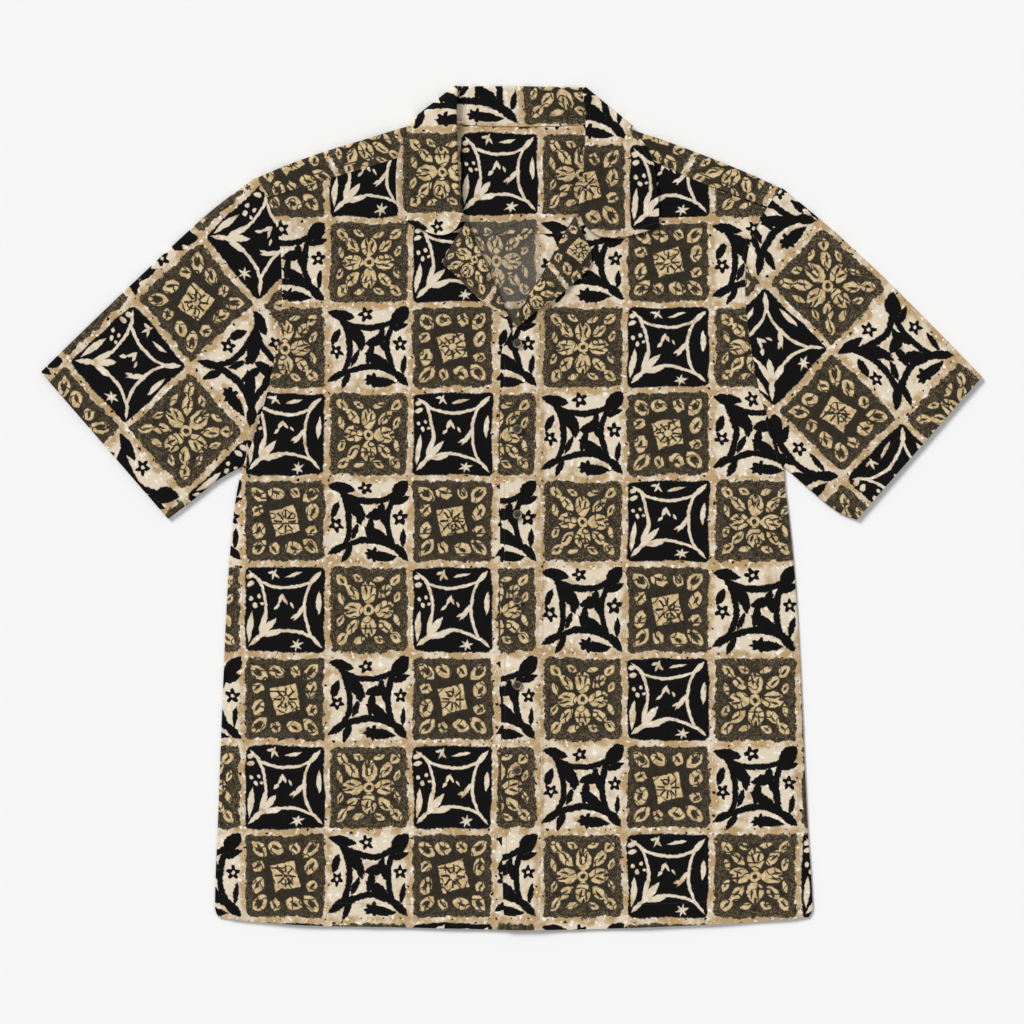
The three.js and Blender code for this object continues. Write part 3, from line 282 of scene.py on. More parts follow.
TILE_OFFSETS = {"A": (0, 1), "B": (1, 1), "C": (0, 0), "D": (1, 0)}
TILE = (80, 83.5)  # width and height of the usual tile
YOKE_PALE_Y = 275.5
YOKE_STRIP_Y = 330
YOKE_STRIPS = {"right": (0.57, -173.3, 80.0), "left": (-0.55, 170.8, 94.0)}  # lean, gutter, tile
YOKE_STRIP_SEAM = (0.14, 0.95)  # height on the tile at the forward seam, tiles to a tile's length
YOKE_SWAPS = {(c, r): "B" if c % 2 else "C" for c in range(-4, 5) for r in (0, 9)}
PRINTS = {  # a gutter's x, a tile's width and the gutter's number, the same along y, tiles of their own
    "back": (CENTRE_X, -TILE[0], 0.5, -391.9, TILE[1], 0, {}),
    "back_inside": (192.4, 83, 1, -53.7, -79.0, 0, {}),
    "yoke_outer": (CENTRE_X, -TILE[0], 0.5, 0, TILE[1], 7.81, YOKE_SWAPS),
    "yoke_inner": (-50.8, 78, 0, YOKE_PALE_Y, 82.2, 1, {(0, 0): "B", (1, 0): "D"}),
    "stand": (0, 80, 10, 0, 83, 0, {(9, 0): "D", (10, 0): "B"}),
    "right_leaf": (-105.9, 79.8, 0, 276.0, 82.6, 0, {(0, 0): "B", (0, 1): "D", (0, -1): "D"}),
    "left_leaf": (109.7, 79.8, 0, 259.8, 86.5, 0, {(-1, 0): "C", (0, 0): "A", (-1, 1): "D", (0, 1): "B"}),
}
LAPEL_PRINT = {  # origin, one tile to the right, one tile up
    "right": ((-78, 222), (70, -38), (40, 72)),
    "left": ((12, 160), (62, 52), (-50, 62)),
}
LAPEL_PRINT_SCALE = 1.3
LAPEL_SWAPS = {(c, r): "C" if (c + r) % 2 else "B" for c in range(-4, 5) for r in range(-4, 5)}
SLEEVE_PRINT = {  # middle of a tile, one tile to the right, one tile up, the tile's place
    "right": ((-363.4, 136.3), (55.0, -63.5), (63.6, 58.7), (0.5, 1.5)),
    "left": ((299.7, 210.4), (55.4, 57.6), (-65.0, 64.0), (1.5, 1.5)),
}

# ---------------------------------------------------------------- stage
FLOOR_Z = -0.0005
LAMPS = (  # place, spread in degrees, strength
    ("key", (-1.5, 1.6, 1.75), 22, 2.7),
    ("fill", (1.3, -0.8, 2.0), 40, 0.3),
)
ROOM_LIGHT = 0.42
CAMERA_HEIGHT = 3.0
SENSOR = 36
FRAME_SIDE = 0.9728
FRAME_MIDDLE = (0.00047, -0.00385)

# ---------------------------------------------------------------- curves
def lerp(a, b, t):
    return a + (b - a) * t


def smooth(t):
    t = np.clip(t, 0.0, 1.0)
    return t * t * (3 - 2 * t)


def hump(at, middle, width, height=1.0):
    """A smooth bump of that height round the middle."""
    return height * np.exp(-(((at - middle) / width) ** 2))


def curve(rows, value=1, start=0):
    """A smooth curve through a table's rows, which are sorted by the column `start`."""
    at = np.array([row[start] for row in rows], float)
    to = np.array([row[value] for row in rows], float)
    last = len(at) - 1
    before = np.maximum(np.arange(last + 1) - 1, 0)
    after = np.minimum(np.arange(last + 1) + 1, last)
    slope = (to[after] - to[before]) / (at[after] - at[before])

    def height(x):
        u = np.clip(x, at[0], at[-1])
        i = np.clip(np.searchsorted(at, u, side="left") - 1, 0, last - 1)
        span = at[i + 1] - at[i]
        t = (u - at[i]) / span
        bend = span * t * (1 - t) * ((1 - t) * slope[i] - t * slope[i + 1])
        return lerp(to[i], to[i + 1], smooth(t)) + bend

    return height


OUT = {"right": -1, "left": 1}
side_x = {"right": curve(SIDES, 1), "left": curve(SIDES, 2)}
hem_y = curve(HEM)
back_neck_y = curve(BACK_NECK)
back_fall_y = curve(BACK_FALL)
edge_z = curve(EDGE_HEIGHTS)
fold_y = {side: curve(rows, 1) for side, rows in SHOULDERS.items()}
seam_y = {side: curve(rows, 2) for side, rows in SHOULDERS.items()}


def roll_middle(row):
    """Middle of a lapel's roll in plan. The front ends there, inside the facing."""
    roll, edge = np.array(row[:2]), np.array(row[2:4])
    outward = (edge - roll) / np.linalg.norm(edge - roll)
    return roll + outward * (LAPEL_RADIUS + FACING_PLY / 2)


def front_edge(side):
    roll = [roll_middle(row) for row in LAPELS[side]][::-1]
    rows = [*FRONT_EDGES[side]["body"], *[(y, x) for x, y in roll], *FRONT_EDGES[side]["neck"]]
    return curve(rows)


front_edge_x = {side: front_edge(side) for side in OUT}


def shoulder_z(x):
    start, over = SHOULDER_DROP
    return lerp(NECK_Z, SHOULDER_Z, smooth((np.abs(x - CENTRE_X) - start) / over))


def fall_lift(x, y):
    start, length = FALL_RAMP
    inside = smooth((y - back_fall_y(x) + start) / length)
    beside = smooth((FALL_HALF_WIDTH + start - np.abs(x - CENTRE_X)) / length)
    return FALL_LIFT * inside * beside


def crease_z(x, y):
    beyond, over = CREASE_FADE
    total = 0.0
    for x0, y0, x1, y1, width, height in CREASES:
        length2 = (x1 - x0) ** 2 + (y1 - y0) ** 2
        t = ((x - x0) * (x1 - x0) + (y - y0) * (y1 - y0)) / length2
        along = smooth((t + beyond) / over) * smooth((1 + beyond - t) / over)
        nearest = np.clip(t, -beyond, 1 + beyond)
        dx = x - lerp(x0, x1, nearest)
        dy = y - lerp(y0, y1, nearest)
        total = total + height * along * np.exp(-(dx * dx + dy * dy) / (width * width))
    return total


def overlap_z(x, y):
    """How far the left front is lifted where it lies over the right front."""
    beside = smooth((OVERLAP["reach"] - x) / OVERLAP["fade"])
    beside = beside * smooth((OVERLAP["top"] - y) / OVERLAP["top_fade"])
    height, start, over = V_RISE
    return (LAYER + OVERLAP["slack"] + height * smooth((y - start) / over)) * beside


def front_z(side, x, y):
    """Middle of a front, with room for the facing beside the neck."""
    from_side = OUT[side] * (side_x[side](y) - x)
    from_edge = OUT[side] * (x - front_edge_x[side](y))
    near_neck = smooth((y - NECK_RISE["from"]) / NECK_RISE["over"])
    near_edge = smooth((NECK_RISE["reach"] - from_edge) / NECK_RISE["fade"])
    body = FRONT_Z + crease_z(x, y) + NECK_RISE["height"] * near_neck * near_edge
    body = body + ripple(x, y) * smooth(from_side / SIDE_CALM) * (1 - near_neck * near_edge)
    rounded = lerp(edge_z(y), body, smooth(from_side / SIDE_ROUND))
    rounded = rounded + sewn_relief(side, x, y, from_side)
    z = lerp(shoulder_z(x), rounded, smooth((seam_y[side](x) - y) / SHOULDER_RISE))
    return z + overlap_z(x, y) if side == "left" else z


def puckers(along, pitch):
    """Small uneven waves that stitching draws into cloth."""
    even = np.sin(2 * math.pi * along / pitch + 1.3 * np.sin(along / 11.0))
    return even + 0.5 * np.sin(along / 2.9 + 2.0)


def seam_relief(away, along, seam):
    """Grooves beside a seam, and the puckers that it draws."""
    middle, width, height = seam["puckers"]
    grooves = sum(hump(away, *groove) for groove in seam["grooves"])
    return grooves + hump(away, middle, width, height * puckers(along, seam["pitch"]))


def sewn_relief(side, x, y, from_side):
    """Cloth beside an armhole, and beside the placket's strip on the left front."""
    below, over = ARMHOLE_END
    relief = smooth((y - UNDERARM_Y + below) / over) * seam_relief(from_side, y, ARMHOLE)
    if side == "left":
        top, over = PLACKET_END
        relief = relief + seam_relief(x - PLACKET_X, y, PLACKET) * smooth((top - y) / over)
    return relief


def leaf_z(side, x, y):
    """Surface that the collar's leaves lie on, as the middle of the leaf."""
    under = np.where(y > seam_y[side](x), shoulder_z(x), front_z(side, x, y))
    return under + PLY / 2 + GAP + COLLAR_PLY / 2


def ripple(x, y):
    """Faint unevenness of cloth that has been worn and smoothed out by hand."""
    chance = np.random.default_rng(RIPPLES["seed"])
    shortest, longest = RIPPLES["lengths"]
    total = 0.0
    for _ in range(RIPPLES["count"]):
        angle = chance.uniform(0, math.pi)
        length = chance.uniform(shortest, longest)
        phase = chance.uniform(0, 2 * math.pi)
        along = (x * math.cos(angle) + y * math.sin(angle)) * 2 * math.pi / length
        total = total + length / longest * np.sin(along + phase + 0.8 * np.sin(along / 3.1))
    return total * RIPPLES["height"]


# ---------------------------------------------------------------- meshes
def run_length(points, axis=0):
    """Length from the first point, along a line or along every line of a grid."""
    first = np.take(points, [0], axis=axis)
    return np.cumsum(np.linalg.norm(np.diff(points, axis=axis, prepend=first), axis=-1), axis=axis)


def unit(vectors):
    return vectors / (np.linalg.norm(vectors, axis=-1, keepdims=True) + 1e-12)


def grid_normals(points, filled, closed):
    """Normals of a grid's points, from its filled cells."""
    width = filled.shape[1]
    nxt = (np.arange(width) + 1) % points.shape[1]
    a, b = points[:-1, :width], points[:-1][:, nxt]
    c, d = points[1:][:, nxt], points[1:, :width]
    normal = unit(np.cross(c - a, d - b)) * filled[..., None]
    total = np.zeros_like(points)
    for rows in (total[:-1], total[1:]):
        rows[:, :width] += normal
    for rows in (total[:-1], total[1:]):
        if closed:
            rows += np.roll(normal, 1, axis=1)
        else:
            rows[:, 1:] += normal
    return unit(total)


def shell(name, points, uv, cloth="cloth", inner_uv=None, keep=None, closed=False, flip=False):
    """A closed sheet of cloth on a grid of points in its middle.

    uv holds four corners for each cell. The upper side of the grid, where row x column points,
    gets the first material and the other side the second one. flip turns the columns round.
    """
    points = np.asarray(points, float)
    n, m = points.shape[:2]
    width = m if closed else m - 1
    filled = np.ones((n - 1, width), bool) if keep is None else keep
    inner_uv = uv if inner_uv is None else inner_uv
    if flip:
        points = np.roll(points[:, ::-1], int(closed), axis=1)
        filled = filled[:, ::-1]
        uv, inner_uv = (corner[:, ::-1][:, :, [1, 0, 3, 2]] for corner in (uv, inner_uv))
    i, j = np.nonzero(filled)
    nxt = (j + 1) % m
    ring = np.stack([i * m + j, i * m + nxt, (i + 1) * m + nxt, (i + 1) * m + j], axis=1)
    lower = ring + n * m
    outer_uv = uv[i, j]
    quads = [ring, lower[:, ::-1]]
    maps = [outer_uv, inner_uv[i, j][:, ::-1]]
    materials = [np.zeros(len(i), int), np.ones(len(i), int)]
    padded = np.zeros((n + 1, width + 2), bool)
    padded[1:n, 1:width + 1] = filled
    if closed:
        padded[1:n, 0] = filled[:, -1]
        padded[1:n, -1] = filled[:, 0]
    beyond = [padded[i, j + 1], padded[i + 1, j + 2], padded[i + 2, j + 1], padded[i + 1, j]]
    for k, neighbour in enumerate(beyond):
        edge = ~neighbour
        after = (k + 1) % 4
        quads.append(np.stack([lower[edge, k], lower[edge, after], ring[edge, after], ring[edge, k]], 1))
        maps.append(outer_uv[edge][:, [k, after, after, k]])
        materials.append(np.zeros(edge.sum(), int))
    flat = points.reshape(-1, 3)
    offset = grid_normals(points, filled, closed).reshape(-1, 3) * mm(cloth) / 2
    used, quads = np.unique(np.concatenate(quads), return_inverse=True)
    piece = new_piece(name, np.concatenate([flat + offset, flat - offset])[used], quads.reshape(-1, 4).tolist())
    maps = np.concatenate(maps).reshape(-1, 4).astype(np.float32)
    for layer_name, part in (("Cloth", maps[:, :2]), ("Wear", maps[:, 2:])):
        layer = piece.data.uv_layers.new(name=layer_name)
        layer.data.foreach_set("uv", np.ascontiguousarray(part).reshape(-1))
    piece.data.polygons.foreach_set("material_index", np.concatenate(materials).astype(np.int32))
    piece.data.update()
    bpy.ops.object.shade_smooth_by_angle(angle=math.radians(CLOTH_ANGLE))
    return piece


def new_piece(name, vertices, faces):
    """A piece from millimetre points in the pattern's frame. It is left as the only one selected."""
    mesh = bpy.data.meshes.new(name)
    place = (np.asarray(vertices) + np.array([*SHIFT, 0.0])) / 1000
    mesh.from_pydata(place.tolist(), [], faces)
    mesh.update()
    piece = bpy.data.objects.new(name, mesh)
    bpy.context.scene.collection.objects.link(piece)
    select_only(piece)
    return piece


def select_only(piece):
    bpy.ops.object.select_all(action="DESELECT")
    piece.select_set(True)
    bpy.context.view_layer.objects.active = piece


# ---------------------------------------------------------------- where the print falls
def cell_corners(grid):
    return np.stack([grid[:-1, :-1], grid[:-1, 1:], grid[1:, 1:], grid[1:, :-1]], axis=2)


def stamped(u, v, swaps=None):
    """Corners of each cell in the print, and where they are on the whole cloth.

    swaps names the tile of certain columns and rows.
    """
    us, vs = (cell_corners(grid) for grid in np.broadcast_arrays(u, v))
    column = np.floor(us.mean(axis=2)).astype(int)
    row = np.floor(vs.mean(axis=2)).astype(int)
    to_u = column % 2
    to_v = row % 2
    for place, tile in (swaps or {}).items():
        here = (column == place[0]) & (row == place[1])
        to_u = np.where(here, TILE_OFFSETS[tile][0], to_u)
        to_v = np.where(here, TILE_OFFSETS[tile][1], to_v)
    return np.stack([us + (to_u - column)[..., None], vs + (to_v - row)[..., None], us, vs], axis=3)


def printed(x, y, key):
    """The print on a piece whose tiles are all of one size."""
    x0, width, column, y0, height, row, swaps = PRINTS[key]
    return stamped((x - x0) / width + column, (y - y0) / height + row, swaps)


def steps(x, table):
    """Interpolates (x, value) pairs and runs straight on beyond them."""
    at, to = np.array(table, float).T
    first = (to[1] - to[0]) / (at[1] - at[0])
    last = (to[-1] - to[-2]) / (at[-1] - at[-2])
    inner = np.interp(x, at, to)
    inner = np.where(x > at[-1], to[-1] + (x - at[-1]) * last, inner)
    return np.where(x < at[0], to[0] + (x - at[0]) * first, inner)


def turned(x, y, origin, right, up):
    """Print coordinates in a frame whose tile is `right` by `up` and which starts at origin."""
    dx, dy = x - origin[0], y - origin[1]
    det = right[0] * up[1] - right[1] * up[0]
    return (dx * up[1] - dy * up[0]) / det, (right[0] * dy - right[1] * dx) / det


# ---------------------------------------------------------------- panels
def two_part_level(v, share, low, middle, high):
    return np.where(v < share, lerp(low, middle, v / share), lerp(middle, high, (v - share) / (1 - share)))


def armhole_seam_y(side):
    y = 290.0
    for _ in range(20):
        y = float(seam_y[side](side_x[side](y)))
    return y


def hem_shift(x_out, x_in, s, v):
    straight = lerp(hem_y(x_out), hem_y(x_in), s)
    return (1 - v) * (hem_y(lerp(x_out, x_in, s)) - straight)


def back_points():
    low, high = HEM[0][1], BACK_SEAM_Y - GAP / 2
    v = np.linspace(0, 1, int((high - low) / COARSE) + 1)[:, None]
    s = np.linspace(0, 1, int(BACK_WIDTH / COARSE) + 1)[None, :]
    level = two_part_level(v, BACK_SHARE, low, UNDERARM_Y, high)
    x = lerp(side_x["right"](level), side_x["left"](level), s)
    y = level + hem_shift(side_x["right"](low), side_x["left"](low), s, v)
    return np.stack([x, y, np.full_like(x, BACK_Z)], axis=2)


def front_points(side):
    rows, columns = (int(size / FINE) for size in FRONT_SIZE)
    share = FRONT_SHARE
    shoulder = SHOULDERS[side]
    neck_end = shoulder[0][2] if side == "left" else shoulder[-1][2]
    arm_end = armhole_seam_y(side)
    v = np.linspace(0, 1, rows + 1)[:, None]
    s = np.linspace(0, 1, columns + 1)[None, :]
    inner_low = float(hem_y(FRONT_EDGES[side]["body"][0][1]))
    outer_y = two_part_level(v, share, HEM[0][1], V_Y, arm_end - GAP / 2)
    inner_y = two_part_level(v, share, inner_low, V_Y, neck_end - GAP / 2)
    outer_x, inner_x = side_x[side](outer_y), front_edge_x[side](inner_y)
    if side == "left":  # a column of points runs down the placket's seam
        split = np.maximum(PLACKET_X, inner_x + PLACKET_LEAST)
        share_out = 1 - PLACKET_COLUMNS / columns
        x = np.where(s < share_out, lerp(outer_x, split, s / share_out),
                     lerp(split, inner_x, (s - share_out) / (1 - share_out)))
        s = (x - outer_x) / (inner_x - outer_x)
    else:
        x = lerp(outer_x, inner_x, s)
    low_out, low_in = float(outer_x[0, 0]), float(inner_x[0, 0])
    hem = hem_y(lerp(low_out, low_in, s)) - lerp(HEM[0][1], inner_low, s)
    y = lerp(outer_y, inner_y, s) + (1 - v) * hem
    lift = np.maximum(0, (v - share) / (1 - share)) ** 2
    y = y + lift * (seam_y[side](x[-1:]) - lerp(arm_end, neck_end, s))
    return np.stack([x, y, front_z(side, x, y)], axis=2)


def hem_step(up):
    """Height of the turned-up layer's step, that far from the hem's edge."""
    sewn = mm("hem_depth") + SEWN_IN
    groove = hump(up, sewn, HEM_STEP["width"], HEM_STEP["groove"])
    return HEM_STEP["height"] * smooth((sewn - up) / HEM_STEP["over"]) - groove


def with_hem(points):
    """Raises the cloth over the turned-up hem along the first row."""
    points = points.copy()
    points[..., 2] += hem_step(run_length(points))
    return points


def rolled_side(points, radius):
    """Adds a column that rolls down along the first column, to meet the layer below."""
    outward = points[:, :1] - points[:, 1:2]
    outward[..., 2] = 0
    outward /= np.linalg.norm(outward, axis=2, keepdims=True)
    rolls = []
    for angle in np.linspace(math.pi / 2, 0, 4)[:-1]:
        shift = outward * radius * math.sin(angle)
        shift[..., 2] = radius * (math.cos(angle) - 1)
        rolls.append(points[:, :1] + shift)
    return np.concatenate([*rolls, points], axis=1)


def build_back():
    points = back_points()
    x, y = points[..., 0], points[..., 1]
    return shell("back_panel", points, printed(x, y, "back"), inner_uv=printed(y, x, "back_inside"), flip=True)


def build_front(side):
    points = rolled_side(with_hem(front_points(side)), SIDE_ROLL)
    x, y = points[..., 0], points[..., 1]
    row = steps(y, ROW_GUTTERS)
    if side == "right":
        uv = stamped(steps(x, RIGHT_COLUMNS), row, RIGHT_SWAPS)
    else:
        uv = stamped(steps(x, LEFT_COLUMNS), row + 1)
        start, width = PLACKET_COLUMN
        strip = stamped(1 + (x - start) / width, row)
        uv[:, -PLACKET_COLUMNS:] = strip[:, -PLACKET_COLUMNS:]
    return shell(f"front_{side}_panel", points, uv, flip=side == "left")


# ---------------------------------------------------------------- yoke
def pressed_inset(inset, y):
    """The inner layer is pressed down on the outer one at the back seam."""
    share, start, over = PRESSED_SEAM
    return inset * lerp(share, 1.0, smooth((y - BACK_SEAM_Y - start) / over))


def yoke_column(side, share, inset):
    """From the back seam over the shoulder fold to the forward seam."""
    flat, turn, strip = YOKE_ROWS
    neck, arm = (SHOULDERS[side][k][0] for k in ((-1, 0) if side == "right" else (0, -1)))
    fold_x = lerp(neck, arm, share)
    fold_line = fold_y[side](fold_x) - PLY / 2
    x_at = lambda y: fold_x + share * (side_x[side](y) - side_x[side](fold_line))
    low = BACK_Z + fall_lift(fold_x, fold_line - 4)
    high = shoulder_z(fold_x)
    radius, middle = (high - low) / 2, (high + low) / 2
    turn_y = fold_line - radius
    y0 = lerp(BACK_SEAM_Y + GAP / 2, turn_y, np.arange(flat) / flat)
    angle = np.linspace(0, math.pi, turn + 1)
    y1 = turn_y + (radius - inset) * np.sin(angle)
    seam = seam_y[side](x_at(seam_y[side](fold_x))) + GAP / 2
    y2 = lerp(turn_y, seam, np.arange(1, strip + 1) / strip)
    y = np.concatenate([y0, y1, y2])
    z = np.concatenate([
        BACK_Z + fall_lift(x_at(y0), y0) + pressed_inset(inset, y0),
        middle - (radius - inset) * np.cos(angle),
        np.full(strip, high - inset),
    ])
    return np.stack([x_at(y), y, z], axis=1)


def neck_column(x, inset):
    flat, turn, strip = YOKE_ROWS
    t = np.minimum(np.arange(flat + turn + strip + 1) / flat, 1)
    y = lerp(BACK_SEAM_Y + GAP / 2, back_neck_y(x), t)
    return np.stack([np.full_like(y, x), y, BACK_Z + fall_lift(x, y) + pressed_inset(inset, y)], axis=1)


def yoke_points(inset):
    shoulder, neck = YOKE_COLUMNS
    start, end = SHOULDERS["right"][-1][0], SHOULDERS["left"][0][0]
    columns = [yoke_column("right", 1 - j / shoulder, inset) for j in range(shoulder + 1)]
    columns += [neck_column(lerp(start, end, j / neck), inset) for j in range(1, neck)]
    columns += [yoke_column("left", j / shoulder, inset) for j in range(shoulder + 1)]
    points = np.stack(columns, axis=1)
    keep = np.ones((points.shape[0] - 1, points.shape[1] - 1), bool)
    keep[YOKE_ROWS[0]:, shoulder:shoulder + neck] = False
    return points, keep


def build_yoke(inner):
    points, keep = yoke_points(LAYER if inner else 0.0)
    x, y = points[..., 0], points[..., 1]
    if inner:
        piece = shell("yoke_inner_layer", points, printed(x, y, "yoke_inner"), keep=keep)
        for face in piece.data.polygons:  # the print is worn pale below the gutter
            if face.center.y * 1000 - SHIFT[1] < YOKE_PALE_Y:
                face.material_index = 1
        return piece
    uv = printed(x, run_length(points), "yoke_outer")
    crown = YOKE_ROWS[0] + YOKE_ROWS[1] // 2
    shoulder, neck = YOKE_COLUMNS
    foot, scale = YOKE_STRIP_SEAM
    for side, part in (("right", slice(None, shoulder)), ("left", slice(shoulder + neck, None))):
        lean, gutter, width = YOKE_STRIPS[side]
        along = (x + lean * (y - YOKE_STRIP_Y) - gutter) / width + 1
        up = foot + scale * (y - seam_y[side](x)) / TILE[1]
        uv[crown:, part] = stamped(along, up, YOKE_SWAPS)[crown:, part]
    return shell("yoke_outer_layer", points, uv, keep=keep, flip=True)


# ---------------------------------------------------------------- facings
def facing_points(side):
    """Under the front, round the roll, and out to the lapel's edge."""
    table = [(*row, i) for i, row in enumerate(LAPELS[side])]
    roll_x, roll_y, out_x, out_y = (curve(table, k, 4) for k in range(4))
    radius = LAPEL_RADIUS
    rows = []
    for i in range(LAPEL_STEPS["along"] + 1):
        step = i / LAPEL_STEPS["along"] * (len(table) - 1)
        roll = np.array([roll_x(step), roll_y(step)])
        outward = np.array([out_x(step), out_y(step)]) - roll
        reach = np.linalg.norm(outward)
        outward = outward / reach
        centre = roll + outward * (radius + FACING_PLY / 2)
        height = lambda along: front_z(side, *(centre + outward * along))
        row = []
        turn_in = min(LAPEL_TURN_IN, reach)
        for t in (1, 0.75, 0.5, 0.25):
            row.append((*(centre + outward * turn_in * t), height(turn_in * t) - radius))
        for k in range(LAPEL_STEPS["turn"] + 1):
            angle = math.pi * k / LAPEL_STEPS["turn"]
            p = centre - outward * radius * math.sin(angle)
            row.append((*p, height(0) - radius * math.cos(angle)))
        for k in range(1, LAPEL_STEPS["flat"] + 1):
            t = k / LAPEL_STEPS["flat"]
            full = min(1, reach / LAPEL_FULL_REACH)
            spring = LAPEL_LIFT * math.sin(math.pi * min(1, 1.4 * t)) * full
            along = t * (reach - radius - FACING_PLY / 2)
            spring = max(0, spring) + LAPEL_SPRING * t * t * full
            row.append((*(centre + outward * along), height(along) + radius + spring))
        rows.append(row)
    return np.array(rows, float)


def build_facing(side):
    points = facing_points(side)
    u, v = turned(points[..., 0], points[..., 1], *LAPEL_PRINT[side])
    uv = stamped(u * LAPEL_PRINT_SCALE, v * LAPEL_PRINT_SCALE, LAPEL_SWAPS)
    return shell(f"lapel_{side}", points, uv, flip=side == "left")


# ---------------------------------------------------------------- sleeves
def sleeve_points(side):
    tables = SLEEVES[side]
    line = {}
    for name in ("upper", "under"):
        fx, fy = curve(tables[name], 1), curve(tables[name], 2)
        line[name] = lambda v, fx=fx, fy=fy: np.array([float(fx(v)), float(fy(v))])
    upper, under = line["upper"], line["under"]
    shift = OUT[side] * SLEEVE_SEAM_GAP
    top0, low0 = upper(0)[1], under(0)[1]
    height, along, sideways = SLEEVE_WAVE
    top_count, under_count, low_count, upper_count = SLEEVE_STEPS
    rows = []
    for i in range(SLEEVE_ROWS + 1):
        v = i / SLEEVE_ROWS
        length = np.linalg.norm(upper(v) - under(v))

        def top_z(across):
            wave = height * np.sin(along * v + sideways * across) * np.sin(math.pi * across)
            lying = lerp(SLEEVE_Z, CUFF_Z, v) + wave * (1 - v)
            level = lerp(edge_z(lerp(top0, low0, across)), lying, smooth(v / SLEEVE_SETTLE))
            tuck = seam_relief(v * length, across * SLEEVE_HEAD_LENGTH, SLEEVE_HEAD)
            return level + tuck * (0.6 + 0.5 * across) * np.minimum(1, 12 * across * (1 - across))

        radius0, radius1 = (top_z(0) - BACK_Z) / 2, (top_z(1) - BACK_Z) / 2
        in0, in1 = radius0 / length, radius1 / length
        a_top = lerp(in0, 1 - in1, np.arange(top_count) / top_count)
        turn = math.pi * np.arange(under_count) / under_count
        a_under = 1 - in1 * (1 - np.sin(turn))
        a_low = lerp(1 - in1, in0, np.arange(low_count) / low_count)
        back_turn = math.pi * np.arange(upper_count) / upper_count
        a_upper = in0 * (1 - np.sin(back_turn))
        across = np.concatenate([a_top, a_under, a_low, a_upper])
        z = np.concatenate([
            top_z(a_top) + sleeve_ripple(a_top, v),
            BACK_Z + radius1 * (1 + np.cos(turn)),
            np.full(low_count, BACK_Z),
            BACK_Z + radius0 * (1 - np.cos(back_turn)),
        ])
        y0 = lerp(top0, low0, across)
        start = np.stack([side_x[side](y0) + shift, y0], axis=1)
        end = lerp(upper(1), under(1), across[:, None])
        plan = lerp(start, end, v)
        plan = plan + (upper(v) - lerp(upper(0), upper(1), v)) * (1 - across[:, None])
        plan = plan + (under(v) - lerp(under(0), under(1), v)) * across[:, None]
        rows.append(np.column_stack([plan, z]))
    return np.array(rows)


def sleeve_ripple(across, v):
    """Soft waves across a sleeve, none at its folds and its seam."""
    hold = np.sin(math.pi * np.clip(across, 0, 1)) * math.sin(math.pi * min(1, v * 1.15)) ** 0.5
    waves = [height * np.sin(a * across + b * v + start) for height, a, b, start in SLEEVE_RIPPLES]
    return hold * sum(waves)


def build_sleeve(side):
    """The lower layer's print goes on from the upper fold, so its seam is the one under the arm."""
    points = sleeve_points(side)
    middle, right, up, place = SLEEVE_PRINT[side]
    u, v = turned(points[..., 0], points[..., 1], middle, right, up)
    here = np.stack([u + place[0], v + place[1]], axis=2)
    fold = here[:, :1]
    turn = SLEEVE_STEPS[0] + SLEEVE_STEPS[1] // 2
    direction = fold[-1:] - fold[:1]
    direction = direction / np.linalg.norm(direction, axis=2, keepdims=True)
    away = here - fold
    reflected = fold + 2 * (away * direction).sum(axis=2, keepdims=True) * direction - away
    lower = (np.arange(here.shape[1]) >= turn)[None, :, None]
    chosen = np.concatenate([np.where(lower, reflected, here), fold], axis=1)
    uv = stamped(chosen[..., 0], chosen[..., 1])
    upper = np.concatenate([here, fold], axis=1)
    uv[:, turn - 1:turn] = stamped(upper[..., 0], upper[..., 1])[:, turn - 1:turn]
    return shell(f"sleeve_{side}_tube", sleeve_hem(points), uv, closed=True, flip=side == "right")


def sleeve_hem(points):
    """The cuff's turned-up layer, as a faint step on the upper side of the tube."""
    top = points[..., 2] > (BACK_Z + points[..., 2].max(axis=1, keepdims=True)) / 2
    points = points.copy()
    points[..., 2] += np.where(top, hem_step(run_length(points[::-1])[::-1]), 0)
    return points


# ---------------------------------------------------------------- collar
def collar_section(out, neck, roll, edge, bulge, turn, lying_z, sag=0.0):
    """From the neck edge over the roll to the outer edge."""
    ahead = np.array([-out * math.sin(bulge), math.cos(bulge), 0])
    aside = np.array([-out * math.cos(bulge), -math.sin(bulge), 0])
    to_stand = aside * math.sin(turn) + np.array([0, 0, math.cos(turn)])
    from_roll = lambda angle: to_stand * math.cos(angle) + ahead * math.sin(angle)
    around = lambda angle: roll + COLLAR_ROLL_RADIUS * from_roll(angle)
    count = COLLAR_STEPS
    points = [lerp(neck, around(0), k / count["stand"]) for k in range(count["stand"])]
    points += [around(math.pi * k / count["turn"]) for k in range(count["turn"] + 1)]
    start = points[-1]
    for k in range(1, count["fall"] + 1):
        t = k / count["fall"]
        x = lerp(start[0], edge[0], t)
        y = lerp(start[1], edge[1], t) - sag * math.sin(math.pi * t ** 0.6)
        rest = float(lying_z(x, y))
        points.append(np.array([x, y, rest + (start[2] - rest) * (1 - t) ** 3]))
    return points


